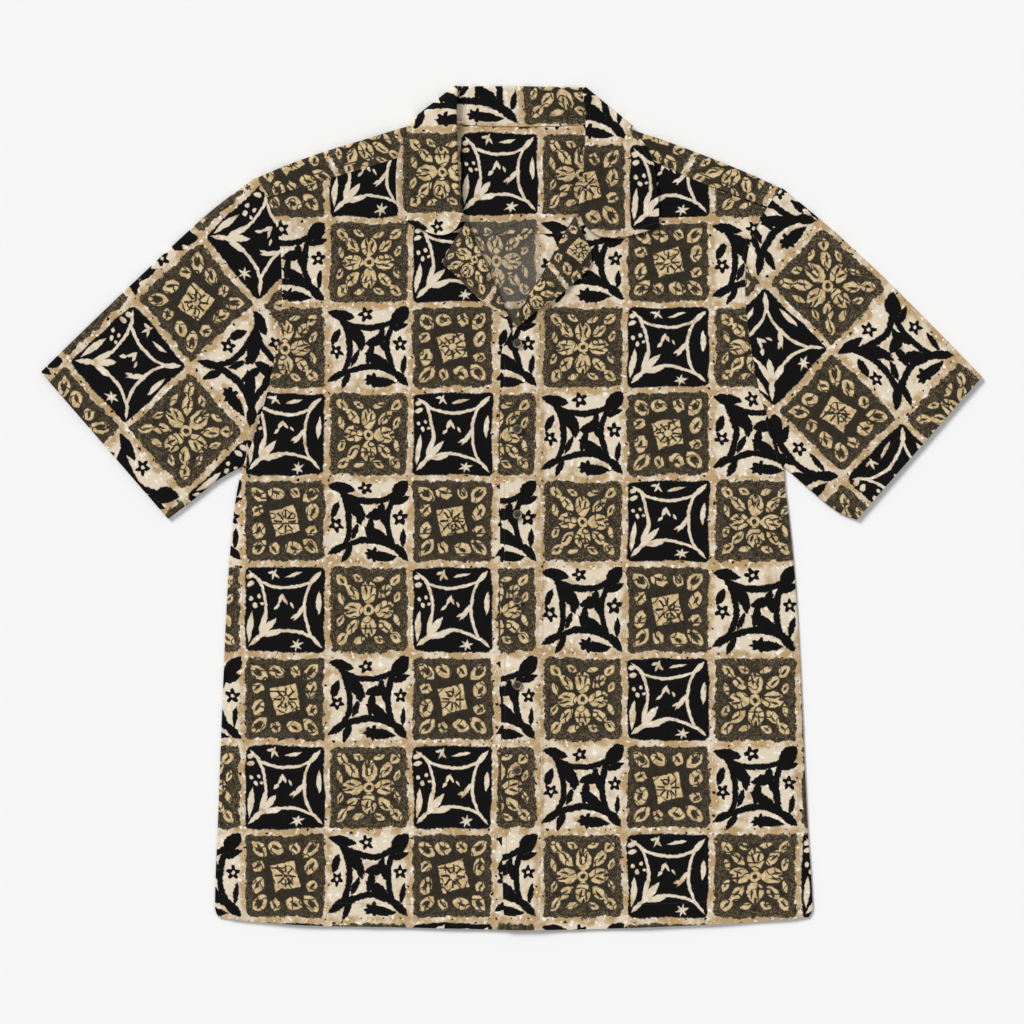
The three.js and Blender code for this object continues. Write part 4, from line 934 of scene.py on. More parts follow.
def collar_half(side):
    data = COLLAR_SIDES[side]
    out = OUT[side]
    corner, neck_turn, fold = (np.array(data[key], float) for key in ("corner", "neck_turn", "fold"))
    under_z = COLLAR_PLY / 2
    over_z = NECK_Z + PLY / 2 + GAP + COLLAR_PLY / 2
    back_roll_z = under_z + COLLAR_ROLL_RADIUS
    wrap_radius = (over_z - under_z) / 2
    neck_radius = (COLLAR_FRONT_STAND_Z - COLLAR_STAND_Z) / 2
    silhouette = (fold - corner) / np.linalg.norm(fold - corner)
    inward = np.array([-out * abs(silhouette[1]), -abs(silhouette[0])])
    neck_line = (corner - neck_turn) / np.linalg.norm(corner - neck_turn)
    neck_inward = np.array([-out * neck_line[1], out * neck_line[0]])
    edge_start = fold + inward * wrap_radius
    neck_start = neck_turn + neck_inward * neck_radius
    sections = []
    for k in range(1, COLLAR_STEPS["back"]):
        t = k / COLLAR_STEPS["back"]
        neck_x = lerp(CENTRE_X, neck_start[0], t)
        edge_x = lerp(CENTRE_X, edge_start[0], t)
        edge_y = min(float(back_fall_y(edge_x)) + 1, edge_start[1])
        sections.append(collar_section(
            out,
            np.array([neck_x, float(back_neck_y(neck_x)) + NECK_SEAM_GAP, COLLAR_STAND_Z]),
            np.array([lerp(CENTRE_X, data["back_roll_x"], t), lerp(COLLAR_BACK_ROLL_Y, corner[1], t),
                      back_roll_z]),
            np.array([edge_x, edge_y]), 0.0, 0.0, lambda x, y: under_z,
        ))
    for k in range(COLLAR_STEPS["wrap"] + 1):
        t = k / COLLAR_STEPS["wrap"]
        turn = math.pi * t
        tuck = 1 - math.sin(turn)
        neck = neck_turn + neck_inward * neck_radius * tuck
        passed = (1 - math.cos(turn)) / 2
        sections.append(collar_section(
            out,
            np.array([*neck, COLLAR_STAND_Z + 2 * neck_radius * passed]),
            np.array([
                lerp(data["back_roll_x"], corner[0], float(smooth(2 * t))),
                corner[1] - COLLAR_CORNER_DROP * float(smooth(2 * t - 1)),
                lerp(back_roll_z, COLLAR_FRONT_ROLL_Z, passed),
            ]),
            fold + inward * wrap_radius * tuck, math.pi / 2 * float(smooth(t)), turn,
            lambda x, y, passed=passed: under_z + 2 * wrap_radius * passed,
        ))
    table = [(*row, i) for i, row in enumerate(data["rows"])]
    columns = [curve(table, k, 7) for k in range(7)]
    count = (len(table) - 1) * COLLAR_STEPS["row"]
    for k in range(count + 1):
        step = k / COLLAR_STEPS["row"]
        neck_x, neck_y, roll_x, roll_y, edge_x, edge_y, sag = (float(column(step)) for column in columns)
        seat = min(COLLAR_FRONT_STAND_Z, float(front_z(side, neck_x + out, neck_y)))
        drop = float(smooth(k / count))
        sections.append(collar_section(
            out,
            np.array([neck_x, neck_y, seat]),
            np.array([roll_x + out * (COLLAR_ROLL_RADIUS + COLLAR_PLY / 2), roll_y,
                      lerp(COLLAR_FRONT_ROLL_Z, COLLAR_END_ROLL_Z, drop)]),
            np.array([edge_x, edge_y]), math.pi / 2, math.pi,
            lambda x, y: leaf_z(side, x, y), sag,
        ))
    return sections


def collar_points():
    centre = collar_section(
        1,
        np.array([CENTRE_X, float(back_neck_y(CENTRE_X)) + NECK_SEAM_GAP, COLLAR_STAND_Z]),
        np.array([CENTRE_X, COLLAR_BACK_ROLL_Y, COLLAR_PLY / 2 + COLLAR_ROLL_RADIUS]),
        np.array([CENTRE_X, float(back_fall_y(CENTRE_X)) + 1]), 0.0, 0.0, lambda x, y: COLLAR_PLY / 2,
    )
    points = np.array([*collar_half("right")[::-1], centre, *collar_half("left")])
    leaf_rows = (len(COLLAR_SIDES["right"]["rows"]) - 1) * COLLAR_STEPS["row"]
    from_end = np.minimum(np.arange(len(points)), np.arange(len(points))[::-1])
    first = COLLAR_STEPS["stand"] + COLLAR_STEPS["turn"] + 2
    out = np.clip((np.arange(points.shape[1]) - first) / (points.shape[1] - 1 - first), 0, 1)
    points[..., 2] += LEAF_SPRING * smooth((leaf_rows - from_end) / 12)[:, None] * out ** 1.6
    return points


def build_collar():
    points = collar_points()
    x, y = points[..., 0], points[..., 1]
    top = COLLAR_STEPS["stand"] + COLLAR_STEPS["turn"] // 2
    middle = len(points) // 2
    along = run_length(points[:, top])
    stand = printed((along - along[middle])[:, None], run_length(points, axis=1), "stand")
    is_left = (np.arange(len(points) - 1) >= middle)[:, None, None, None]
    is_leaf = (np.arange(points.shape[1] - 1) >= top)[None, :, None, None]
    leaves = np.where(is_left, printed(x, y, "left_leaf"), printed(x, y, "right_leaf"))
    uv = np.where(is_leaf, leaves, stand)
    return shell("camp_collar", points[::-1], uv[::-1][:, :, [3, 2, 1, 0]], "collar_cloth")


# ---------------------------------------------------------------- sewing
def resample(path, pitch):
    """Middles of stitches along a path, and the way that each one points."""
    path = np.asarray(path, float)
    run = run_length(path)
    at = (np.arange(max(int(run[-1] / pitch), 1)) + 0.5) * pitch
    place = lambda at: np.stack([np.interp(at, run, path[:, k]) for k in range(3)], axis=1)
    ahead = place(at + 0.6) - place(at - 0.6)
    return place(at), ahead / (np.linalg.norm(ahead, axis=1, keepdims=True) + 1e-9)


def tube_faces(rings, sides, base):
    """Sides and caps of a tube whose points run ring by ring from the point `base`."""
    faces = []
    for ring in range(base, base + (rings - 1) * sides, sides):
        for k in range(sides):
            n = (k + 1) % sides
            faces.append((ring + k, ring + n, ring + sides + n, ring + sides + k))
    last = base + (rings - 1) * sides
    return [*faces, tuple(range(base, base + sides))[::-1], tuple(range(last, last + sides))]


def build_stitches(name, paths, up=1.0):
    """Rows of running stitches, each a short bowed thread, on the given lines."""
    middles, aheads = zip(*[resample(path, mm("stitch_pitch")) for path in paths])
    middle, ahead = np.concatenate(middles), np.concatenate(aheads)
    side = np.cross([0, 0, up], ahead)
    side /= np.linalg.norm(side, axis=1, keepdims=True) + 1e-9
    above = np.cross(ahead, side)
    rings = []
    for share, swell in SPINDLE:
        for k in range(SPINDLE_SIDES):
            angle = 2 * math.pi * k / SPINDLE_SIDES
            bow = mm("stitch_radius") * (0.5 - 2.2 * share * share)
            local = swell * mm("stitch_radius")
            rings.append(
                middle + ahead * share * mm("stitch_length") + side * local * math.cos(angle)
                + above * (local * math.sin(angle) + bow)
            )
    vertices = np.stack(rings, axis=1).reshape(-1, 3)
    polygons = []
    for base in range(0, len(vertices), len(rings)):
        polygons += tube_faces(len(SPINDLE), SPINDLE_SIDES, base)
    return thread_piece(name, vertices, polygons)


def build_threads(name, paths, radius):
    """A round thread along each path, upright enough to be framed by the Y and Z axes."""
    vertices, polygons = [], []
    level = np.array([1.0, 0, 0])
    for path in paths:
        path = np.asarray(path, float)
        ahead = np.gradient(path, axis=0)
        ahead /= np.linalg.norm(ahead, axis=1, keepdims=True)
        polygons += tube_faces(len(path), THREAD_SIDES, len(vertices))
        for point, normal in zip(path, np.cross(ahead, level)):
            for k in range(THREAD_SIDES):
                angle = 2 * math.pi * k / THREAD_SIDES
                vertices.append(point + radius * (normal * math.cos(angle) + level * math.sin(angle)))
    return thread_piece(name, vertices, polygons)


def thread_piece(name, vertices, polygons):
    piece = new_piece(name, vertices, polygons)
    bpy.ops.object.mode_set(mode="EDIT")
    bpy.ops.mesh.select_all(action="SELECT")
    bpy.ops.mesh.normals_make_consistent(inside=False)
    bpy.ops.object.mode_set(mode="OBJECT")
    bpy.ops.object.shade_smooth_by_angle(angle=math.radians(THREAD_ANGLE))
    return piece


def lifted(cloth="cloth"):
    """From the middle of a layer to the thread on it."""
    return mm(cloth) / 2 + STITCH_LIFT


def on_front(side, x, y, sunk=0.0):
    x, y = np.broadcast_arrays(np.asarray(x, float), np.asarray(y, float))
    return np.stack([x, y, front_z(side, x, y) + lifted() - sunk], axis=1)


def front_stitches(side):
    """Hem and armhole of a front, and the placket's two rows on the left one."""
    out = OUT[side]
    hem = mm("hem_depth")
    outer = float(side_x[side](HEM[0][1] + hem)) - out * ROW_ENDS["side"]
    inner = FRONT_EDGES[side]["body"][0][1] + out * ROW_ENDS["edge"]
    x = np.linspace(outer, inner, ROW_STEPS["hem"])
    lines = [on_front(side, x, hem_y(x) + hem + SEWN_IN, HEM_SUNK)]
    end = ROW_ENDS["armhole"]
    y = np.linspace(UNDERARM_Y + end, armhole_seam_y(side) - end, ROW_STEPS["armhole"])
    lines.append(on_front(side, side_x[side](y) - out * ARMHOLE_STITCH, y))
    if side == "left":
        foot, outer_top, inner_top = STITCH_ROW
        y = np.linspace(foot, outer_top, ROW_STEPS["placket"])
        lines.append(on_front(side, PLACKET_X + PLACKET_STITCH, y))
        y = np.linspace(foot, inner_top, ROW_STEPS["placket"])
        lines.append(on_front(side, front_edge_x[side](y) + FRONT_STITCH, y))
    return lines


def yoke_stitches():
    """Along the forward seams, on the yoke's edge."""
    lines = []
    for side, rows in SHOULDERS.items():
        x = np.linspace(rows[0][0], rows[-1][0], ROW_STEPS["shoulder"])[SHOULDER_SPARE:-SHOULDER_SPARE]
        lines.append(np.stack([x, seam_y[side](x) + SEAM_STITCH, shoulder_z(x) + lifted()], axis=1))
    return lines


def back_stitches():
    """Along the back yoke seam and the back hem, on the outside."""
    line = lambda x, y: np.stack(np.broadcast_arrays(x, y, BACK_Z - lifted()), axis=1)
    seam, hem = (np.linspace(*ends, ROW_STEPS["hem"]) for ends in (BACK_SEAM_ROW, BACK_HEM_ROW))
    return [
        line(seam, BACK_SEAM_Y + SEAM_STITCH),
        line(hem, hem_y(hem) + mm("hem_depth") + SEWN_IN),
    ]


def inset_line(points, distance, surface):
    """The line that lies `distance` inside the last column of a grid, on its upper face."""
    line = []
    for row in points[:, ::-1]:
        run = run_length(row)
        line.append([np.interp(distance, run, row[:, k]) for k in range(3)])
    line = np.array(line)
    line[:, 2] += surface
    return line


def collar_stitches():
    """Round the leaves, a little inside their edges."""
    points = collar_points()
    row = (len(COLLAR_SIDES["right"]["rows"]) - 1) * COLLAR_STEPS["row"]
    fall = COLLAR_STEPS["stand"] + COLLAR_STEPS["turn"] + 4
    lift = lifted("collar_cloth")
    lines = []
    for leaf in (points[:row][::-1], points[-row:]):
        corner = leaf[-1, -1]
        outer = inset_line(leaf[:, fall:], EDGE_STITCH, lift)
        end = inset_line(np.swapaxes(leaf, 0, 1), EDGE_STITCH, lift)[fall:]
        lines.append(outer[np.linalg.norm(leaf[:, -1] - corner, axis=1) > EDGE_STITCH])
        lines.append(end[np.linalg.norm(end - corner, axis=1) > EDGE_STITCH])
    return lines


def lapel_stitches(side):
    flat = facing_points(side)[:, -LAPEL_STEPS["flat"] - 1:]
    long_enough = np.linalg.norm(flat[:, -1] - flat[:, 0], axis=1) > EDGE_STITCH + 1.5
    return [inset_line(flat[long_enough], EDGE_STITCH, lifted())]


def cuff_stitches(side):
    """Round a cuff, as its upper and its lower half."""
    points = sleeve_hem(sleeve_points(side))
    normal = grid_normals(points, np.ones((len(points) - 1, points.shape[1]), bool), True)
    back = (points + normal * OUT[side] * lifted())[::-1]
    run = run_length(back)
    sewn = mm("hem_depth") + SEWN_IN
    line = np.array([
        [np.interp(sewn, run[:, j], back[:, j, k]) for k in range(3)] for j in range(points.shape[1])
    ])
    top_count, under_count, low_count, _ = SLEEVE_STEPS
    low = top_count + under_count
    return line[2:top_count - 1], line[low + 2:low + low_count - 2]


# ---------------------------------------------------------------- materials
class Nodes:
    """Adds nodes to a new material, each one after the nodes that feed it."""

    def __init__(self, name):
        self.material = bpy.data.materials.new(name)
        self.material.use_nodes = True
        self.tree = self.material.node_tree

    def finish(self, **settings):
        """Fills the shader's sockets, whose names have _ for a space, and gives the material."""
        shader = self.tree.nodes["Principled BSDF"]
        for key, value in settings.items():
            self.put(shader.inputs[key.replace("_", " ")], value)
        return self.material

    def add(self, kind, inputs=(), **settings):
        node = self.tree.nodes.new(kind)
        for key, value in settings.items():
            setattr(node, key, value)
        pairs = inputs.items() if isinstance(inputs, dict) else enumerate(inputs)
        for key, value in pairs:
            self.put(node.inputs[key], value)
        return node

    def put(self, socket, value):
        if isinstance(value, bpy.types.NodeSocket):
            self.tree.links.new(value, socket)
        else:
            socket.default_value = value

    def math(self, operation, *inputs, clamp=False):
        return self.add("ShaderNodeMath", inputs, operation=operation, use_clamp=clamp).outputs[0]

    def vector(self, operation, *inputs):
        return self.add("ShaderNodeVectorMath", inputs, operation=operation).outputs[0]

    def length(self, place):
        return self.add("ShaderNodeVectorMath", (place,), operation="LENGTH").outputs[1]

    def plus(self, a, b):
        return self.math("ADD", a, b)

    def minus(self, a, b):
        return self.math("SUBTRACT", a, b)

    def times(self, a, b):
        return self.math("MULTIPLY", a, b)

    def scaled(self, a, scale, shift):
        return self.math("MULTIPLY_ADD", a, scale, shift)

    def size(self, a):
        return self.math("ABSOLUTE", a)

    def larger(self, a, b):
        return self.math("MAXIMUM", a, b)

    def smaller(self, a, b):
        return self.math("MINIMUM", a, b)

    def parts(self, place):
        return self.add("ShaderNodeSeparateXYZ", (place,)).outputs

    def point(self, x, y):
        return self.add("ShaderNodeCombineXYZ", (x, y, 0)).outputs[0]

    def mix(self, share, a, b):
        node = self.add("ShaderNodeMix", data_type="RGBA")
        for socket, value in ((node.inputs[0], share), (node.inputs[6], a), (node.inputs[7], b)):
            self.put(socket, (*value, 1) if isinstance(value, tuple) else value)
        return node.outputs[2]

    def lerp(self, share, a, b):
        node = self.add("ShaderNodeMix", data_type="FLOAT")
        for socket, value in zip((node.inputs[0], node.inputs[2], node.inputs[3]), (share, a, b)):
            self.put(socket, value)
        return node.outputs[0]

    def noise(self, place, scale, detail=2.0, roughness=0.5, color=False):
        inputs = {"Vector": place, "Scale": scale, "Detail": detail, "Roughness": roughness}
        return self.add("ShaderNodeTexNoise", inputs).outputs["Color" if color else "Fac"]

    def fade(self, value, start, end, low=0.0, high=1.0):
        inputs = (value, start, end, low, high)
        return self.add("ShaderNodeMapRange", inputs, interpolation_type="SMOOTHSTEP").outputs[0]

    def bump(self, strength, distance, height):
        inputs = {"Strength": strength, "Distance": distance, "Height": height}
        return self.add("ShaderNodeBump", inputs).outputs[0]

    def local(self, place, centre, degrees, size=(1, 1, 1)):
        """The place as it is seen from a motif's own middle, turn and size."""
        inputs = (place, (*centre, 0), (0, 0, math.radians(degrees)), size)
        return self.add("ShaderNodeMapping", inputs, vector_type="TEXTURE").outputs[0]

    def leaf(self, place, centre, degrees, length, width):
        """Distance to a pointed leaf of that half length and half width."""
        local = self.local(place, centre, degrees)
        inset = (length * length - width * width) / (2 * width)
        folded = self.vector("ABSOLUTE", local)
        return self.minus(self.length(self.vector("ADD", folded, (0, inset, 0))), inset + width)

    def oval(self, place, centre, degrees, length, width):
        size = min(length, width)
        return self.scaled(self.length(self.local(place, centre, degrees, (length, width, 1))), size, -size)

    def join(self, first, *others):
        for other in others:
            first = self.smaller(first, other)
        return first

    def cut(self, shape, hole):
        return self.larger(shape, self.times(hole, -1.0))

    def leaves(self, shape, place, rows):
        for row in rows:
            shape = self.join(shape, self.leaf(place, *row))
        return shape

    def slit_leaf(self, leaf, *slits):
        """A leaf with narrower leaves cut out of it. Each names the folded place that it repeats in."""
        shape = self.leaf(*leaf)
        for slit in slits:
            shape = self.cut(shape, self.leaf(*slit))
        return shape

    def ink(self, distance, soft=0.011):
        """1 inside a shape and 0 outside, with an edge as soft as ink on cloth."""
        return self.math("MULTIPLY_ADD", distance, -1 / soft, 0.5, clamp=True)


def linear(code):
    """A hex colour as linear red, green and blue."""
    parts = [int(code[k:k + 2], 16) / 255 for k in (0, 2, 4)]
    return tuple(p / 12.92 if p <= 0.04045 else ((p + 0.055) / 1.055) ** 2.4 for p in parts)


# Leaves and dots of the tiles: centre, angle, half length, half width
BLACK_TILE_LEAVES = [
    ((-0.205, -0.195), 47, 0.145, 0.040), ((-0.27, -0.15), 74, 0.120, 0.022),
    ((-0.14, -0.275), 14, 0.110, 0.022), ((-0.345, -0.335), 42, 0.110, 0.026),
    ((-0.405, -0.18), 84, 0.170, 0.034), ((0.405, 0.07), 86, 0.125, 0.030),
    ((0.345, 0.345), 45, 0.110, 0.030), ((0.365, -0.350), -47, 0.095, 0.018),
    ((-0.345, 0.355), -40, 0.100, 0.016), ((0.175, -0.02), 52, 0.125, 0.024),
    ((0.12, -0.06), 22, 0.065, 0.018), ((0.10, 0.375), 14, 0.105, 0.018),
    ((-0.13, 0.385), 62, 0.065, 0.016), ((-0.11, 0.38), -48, 0.060, 0.015),
    ((-0.165, 0.405), 5, 0.040, 0.015), ((0.15, -0.385), 18, 0.080, 0.015),
    ((0.15, -0.385), 78, 0.066, 0.014), ((0.15, -0.385), -40, 0.066, 0.014),
    ((-0.05, 0.10), 64, 0.060, 0.020), ((-0.010, 0.10), -58, 0.056, 0.017),
    ((-0.095, 0.02), 42, 0.042, 0.018), ((0.07, 0.05), -55, 0.034, 0.013),
]
BLACK_TILE_DOTS = [
    ((-0.410, 0.36), 20, 0.040, 0.028), ((-0.405, 0.275), 20, 0.044, 0.026), ((-0.40, 0.115), 20, 0.023, 0.025),
    ((-0.310, 0.135), 20, 0.020, 0.022), ((-0.350, 0.045), 20, 0.024, 0.030), ((-0.275, 0.06), 20, 0.021, 0.016),
]
VINE_TILE_LEAVES = [
    ((-0.325, 0.385), -12, 0.170, 0.062), ((0.375, 0.365), 46, 0.150, 0.090),
    ((0.290, 0.260), 72, 0.100, 0.042), ((0.380, 0.235), 20, 0.120, 0.042),
    ((0.13, -0.400), -4, 0.205, 0.058), ((0.415, -0.200), 82, 0.120, 0.036),
    ((0.375, -0.355), -44, 0.140, 0.056), ((-0.370, -0.330), 30, 0.150, 0.048),
    ((-0.265, -0.385), 62, 0.130, 0.042), ((-0.155, 0.150), -54, 0.180, 0.076),
    ((-0.110, 0.045), -78, 0.100, 0.042), ((0.095, 0.080), 14, 0.150, 0.066),
    ((0.145, 0.130), 78, 0.105, 0.048), ((0.020, -0.075), 80, 0.150, 0.048),
    ((0.110, -0.165), -32, 0.190, 0.066), ((-0.400, 0.130), 68, 0.110, 0.050),
    ((-0.165, -0.120), 66, 0.110, 0.040), ((0.190, 0.010), -60, 0.100, 0.044),
]
LINE_WIDTH = {"black": 0.0150, "vine": 0.0350}  # half the width of the bowed stems
BLOSSOM = {"centre": (0.385, 0.040, 0), "petals": 5.0, "radius": 0.070, "eye": 0.019}


def black_tile(n, place, arcs):
    """Pale lines on black: four bowed stems, a sprig in a corner, leaves, sparks and dots."""
    shape = n.leaves(n.minus(arcs, LINE_WIDTH["black"]), place, BLACK_TILE_LEAVES)
    for dot in BLACK_TILE_DOTS:
        shape = n.join(shape, n.oval(place, *dot))
    return shape


def vine_tile(n, place, quarter, arcs):
    """Black stems on the pale cloth, with bold leaves and five-petalled blossoms."""
    shape = n.leaves(n.minus(arcs, LINE_WIDTH["vine"]), place, VINE_TILE_LEAVES)
    local = n.vector("SUBTRACT", quarter, BLOSSOM["centre"])
    x, y, _ = n.parts(local)
    petals = n.math("SINE", n.times(n.math("ARCTAN2", y, x), BLOSSOM["petals"]))
    reach = n.length(local)
    blossom = n.minus(n.scaled(petals, -0.020, reach), BLOSSOM["radius"])
    return n.join(shape, n.cut(blossom, n.minus(reach, BLOSSOM["eye"])))


def rosette_tile(n, place, quarter, eighth):
    """A ring and four fan petals, with smaller petals and leaves between them and the corners."""
    ring = n.minus(n.size(n.minus(n.length(place), 0.046)), 0.016)
    fans = n.slit_leaf((eighth, (0.182, 0.010), 6, 0.122, 0.080), (quarter, (0.215, 0.032), 10, 0.074, 0.014),
                       (quarter, (0.205, -0.034), -14, 0.060, 0.014), (quarter, (0.290, 0.004), 2, 0.046, 0.020))
    petals = n.slit_leaf((eighth, (0.198, 0.198), 45, 0.108, 0.055), (quarter, (0.212, 0.198), 38, 0.062, 0.015),
                         (quarter, (0.195, -0.210), -52, 0.056, 0.014))
    outer = n.slit_leaf((quarter, (0.338, 0.125), 64, 0.070, 0.038), (quarter, (0.338, 0.125), 58, 0.036, 0.013))
    outer = n.join(outer, n.leaf(quarter, (0.335, -0.120), 108, 0.072, 0.031))
    corner = n.slit_leaf((eighth, (0.322, 0.322), 45, 0.082, 0.053), (eighth, (0.318, 0.318), 45, 0.042, 0.016))
    return n.join(fans, petals, outer, corner), ring


def diamond_tile(n, place, quarter, eighth):
    """A slit diamond in the middle and twelve cut leaves and blocks round it."""
    x, y, _ = n.parts(n.vector("ABSOLUTE", n.local(place, (0, 0), 14)))
    square = n.minus(n.larger(x, y), 0.150)
    x, y, _ = n.parts(place)
    reach = n.length(place)
    spokes = n.size(n.math("SINE", n.times(n.math("ARCTAN2", y, x), 4.0)))
    slits = n.scaled(n.times(spokes, reach), 0.5, -0.0230)
    slits = n.larger(slits, n.minus(0.040, reach))
    slits = n.larger(slits, n.minus(reach, 0.135))
    middle = n.cut(square, slits)
    side = n.slit_leaf((quarter, (0.316, 0.105), 72, 0.100, 0.070), (quarter, (0.325, 0.105), 62, 0.056, 0.022))
    x, y, _ = n.parts(n.vector("ABSOLUTE", n.local(quarter, (0.318, -0.115), 20)))
    block = n.minus(n.larger(n.scaled(x, 0.35, y), x), 0.060)
    block = n.cut(block, n.leaf(quarter, (0.325, -0.118), 40, 0.050, 0.018))
    corner = n.slit_leaf((eighth, (0.304, 0.304), 45, 0.118, 0.068), (eighth, (0.320, 0.300), 38, 0.064, 0.022))
    return n.join(middle, side, block, corner)


def folded_places(n, place):
    """A tile folded in quarters and in eighths, its longer side, and the distance to four bowed arcs."""
    x, y, _ = n.parts(place)
    ax, ay = n.size(x), n.size(y)
    wide = n.math("GREATER_THAN", ax, ay)
    far = n.larger(ax, ay)
    near = n.smaller(ax, ay)
    along = n.times(y, n.math("SIGN", x))
    across = n.times(n.times(x, -1.0), n.math("SIGN", y))
    quarter = n.point(far, n.lerp(wide, across, along))
    eighth = n.point(far, near)
    bow = n.scaled(n.times(near, near), 0.86, 0.228)
    return quarter, eighth, far, n.times(n.size(n.minus(far, bow)), 0.9)


def printed_cotton(name, colours, reverse=False):
    """Block-printed cotton. The tiles follow the Cloth map, one unit to a tile, and their wear the Wear map."""
    n = Nodes(name)
    cloth = n.add("ShaderNodeUVMap", uv_map="Cloth").outputs[0]
    wear = n.add("ShaderNodeUVMap", uv_map="Wear").outputs[0]
    column, row, _ = n.parts(n.vector("MODULO", n.vector("FLOOR", cloth), (2.0, 2.0, 2.0)))
    bend, wobble = 0.075, 0.022
    half = 0.5 + (bend + wobble) / 2
    flat = n.vector("SUBTRACT", n.vector("FRACTION", cloth), (half, half, 0))
    bent = n.vector("MULTIPLY_ADD", n.noise(wear, 2.8, 1.0, color=True), (bend, bend, 0), flat)
    place = n.vector("MULTIPLY_ADD", n.noise(wear, 22.0, 1.0, color=True), (wobble, wobble, 0), bent)
    quarter, eighth, far, arcs = folded_places(n, place)
    ragged = n.scaled(n.noise(wear, 30.0, 2.0, 0.65), 0.030, -0.015)
    blotch = n.noise(wear, 15.0, 2.0, 0.6)

    # The tile's edge, which is more ragged on the olive tiles
    corner = n.vector("SUBTRACT", n.vector("ABSOLUTE", place), (0.408, 0.408, 0))
    corner = n.vector("MAXIMUM", corner, (0, 0, 0))
    edge = n.plus(n.minus(n.length(corner), 0.060), ragged)
    olive_tile = n.minus(1.0, n.size(n.minus(column, row)))
    teeth = n.scaled(n.noise(wear, 13.0, 1.0), 0.080, -0.036)
    edge = n.scaled(teeth, olive_tile, edge)
    ground = n.ink(edge, 0.014)

    # Where each ink lies
    rosette, ring = rosette_tile(n, place, quarter, eighth)
    diamond = diamond_tile(n, place, quarter, eighth)
    nicks = n.scaled(n.size(n.minus(n.noise(wear, 8.5, 0.0), 0.5)), 0.30, -0.0105)
    carved = n.cut(n.lerp(column, diamond, rosette), nicks)
    carved = n.ink(n.plus(n.join(carved, n.scaled(n.minus(1.0, column), 1.0, ring)), ragged), 0.010)
    vine = n.ink(n.plus(vine_tile(n, place, quarter, arcs), ragged), 0.009)
    pale = n.ink(n.plus(black_tile(n, place, arcs), n.times(ragged, 0.5)), 0.009)
    black_ink = n.times(ground, n.minus(1.0, pale))
    black_ink = n.times(n.lerp(column, black_ink, vine), n.minus(1.0, olive_tile))
    specks = n.times(n.fade(n.noise(wear, 19.0, 0.0), 0.735, 0.755), n.minus(1.0, ground))
    black_ink = n.larger(black_ink, specks)
    olive_area = n.times(olive_tile, ground)
    olive_ink = n.times(olive_area, n.minus(1.0, carved))

    # Undyed and beige cloth, the olive ground with its grain, and the black
    near_gutter = n.fade(edge, -0.060, 0.030, 0.0, 0.17)
    stain = n.fade(n.plus(n.noise(wear, 4.5, 3.0, 0.6), near_gutter), 0.50, 0.74)
    colour = n.mix(stain, colours["cream"], colours["tan"])
    colour = n.mix(n.fade(blotch, 0.56, 0.68), colour, colours["light"])
    beige = n.mix(n.fade(blotch, 0.30, 0.62), colours["beige_dark"], colours["beige"])
    colour = n.mix(olive_area, colour, beige)
    grain = n.add("ShaderNodeTexVoronoi", {"Vector": wear, "Scale": 52.0}, feature="F1").outputs["Distance"]
    rim = n.fade(n.plus(far, n.times(blotch, 0.16)), 0.36, 0.54, 0.07, 0.72)
    dots = n.times(n.fade(grain, 0.52, 0.20), n.times(rim, n.lerp(column, 0.6, 1.0)))
    thin = n.times(n.fade(blotch, 0.25, 0.65), n.fade(far, 0.16, 0.44, 0.45, 1.0))
    olive = n.mix(dots, n.mix(thin, colours["olive_dark"], colours["olive"]), colours["grain"])
    colour = n.mix(olive_ink, colour, olive)
    colour = n.mix(black_ink, colour, n.mix(blotch, colours["black"], colours["black_light"]))

    # The weave, 62 threads to a tile, as a bump and as painted shade: the colour is darker where the weave is
    # low and lighter on its crests
    tx, ty, _ = n.parts(n.vector("MULTIPLY", wear, (2 * math.pi * 62, 2 * math.pi * 62, 0)))
    weave = n.times(n.math("SINE", tx), n.math("SINE", ty))
    weave_shade = n.add("ShaderNodeVectorMath", (colour,), operation="SCALE")
    n.put(weave_shade.inputs["Scale"], n.scaled(weave, 0.06, 1.0))
    colour = weave_shade.outputs[0]
    if reverse:  # a haze that is strongest in the middle of the neck
        x, y, _ = n.parts(n.add("ShaderNodeTexCoord").outputs["Object"])
        rubbed = n.times(n.fade(x, 0.032, 0.022, 0.05, 1.0), n.fade(y, 0.275, 0.225, 0.14, 0.30))
        colour = n.mix(rubbed, colour, colours["reverse"])
    return n.finish(Base_Color=colour, Normal=n.bump(0.25, 0.0001, weave), Roughness=0.9, Sheen_Weight=0.015,
                    Sheen_Roughness=0.5, Specular_IOR_Level=0.04)


def sewing_thread(name, colours):
    """Twisted cotton thread."""
    n = Nodes(name)
    tone = n.noise(n.add("ShaderNodeTexCoord").outputs["Object"], 900.0, 2.0)
    colour = n.mix(tone, tuple(c * 0.6 for c in colours["thread"]), colours["thread"])
    return n.finish(Base_Color=colour, Normal=n.bump(0.4, 0.00005, tone), Roughness=0.75, Sheen_Weight=0.2)


def polished_horn(name, body, streaks):
    """Polished horn with cloudy streaks."""
    n = Nodes(name)
    place = n.add("ShaderNodeTexCoord").outputs["Object"]
    long = (place, (0, 0, 0), (0, 0, math.radians(25)), (1.0, 3.2, 1.0))
    cloud = n.noise(n.add("ShaderNodeMapping", long).outputs[0], 160.0, 4.0, 0.6)
    colour = n.mix(n.fade(cloud, 0.42, 0.62), body, streaks)
    fine = n.noise(place, 2200.0, 2.0)
    return n.finish(Base_Color=colour, Roughness=n.lerp(fine, 0.32, 0.5), Normal=n.bump(0.15, 0.00004, fine),
                    Coat_Weight=0.15, Coat_Roughness=0.15)


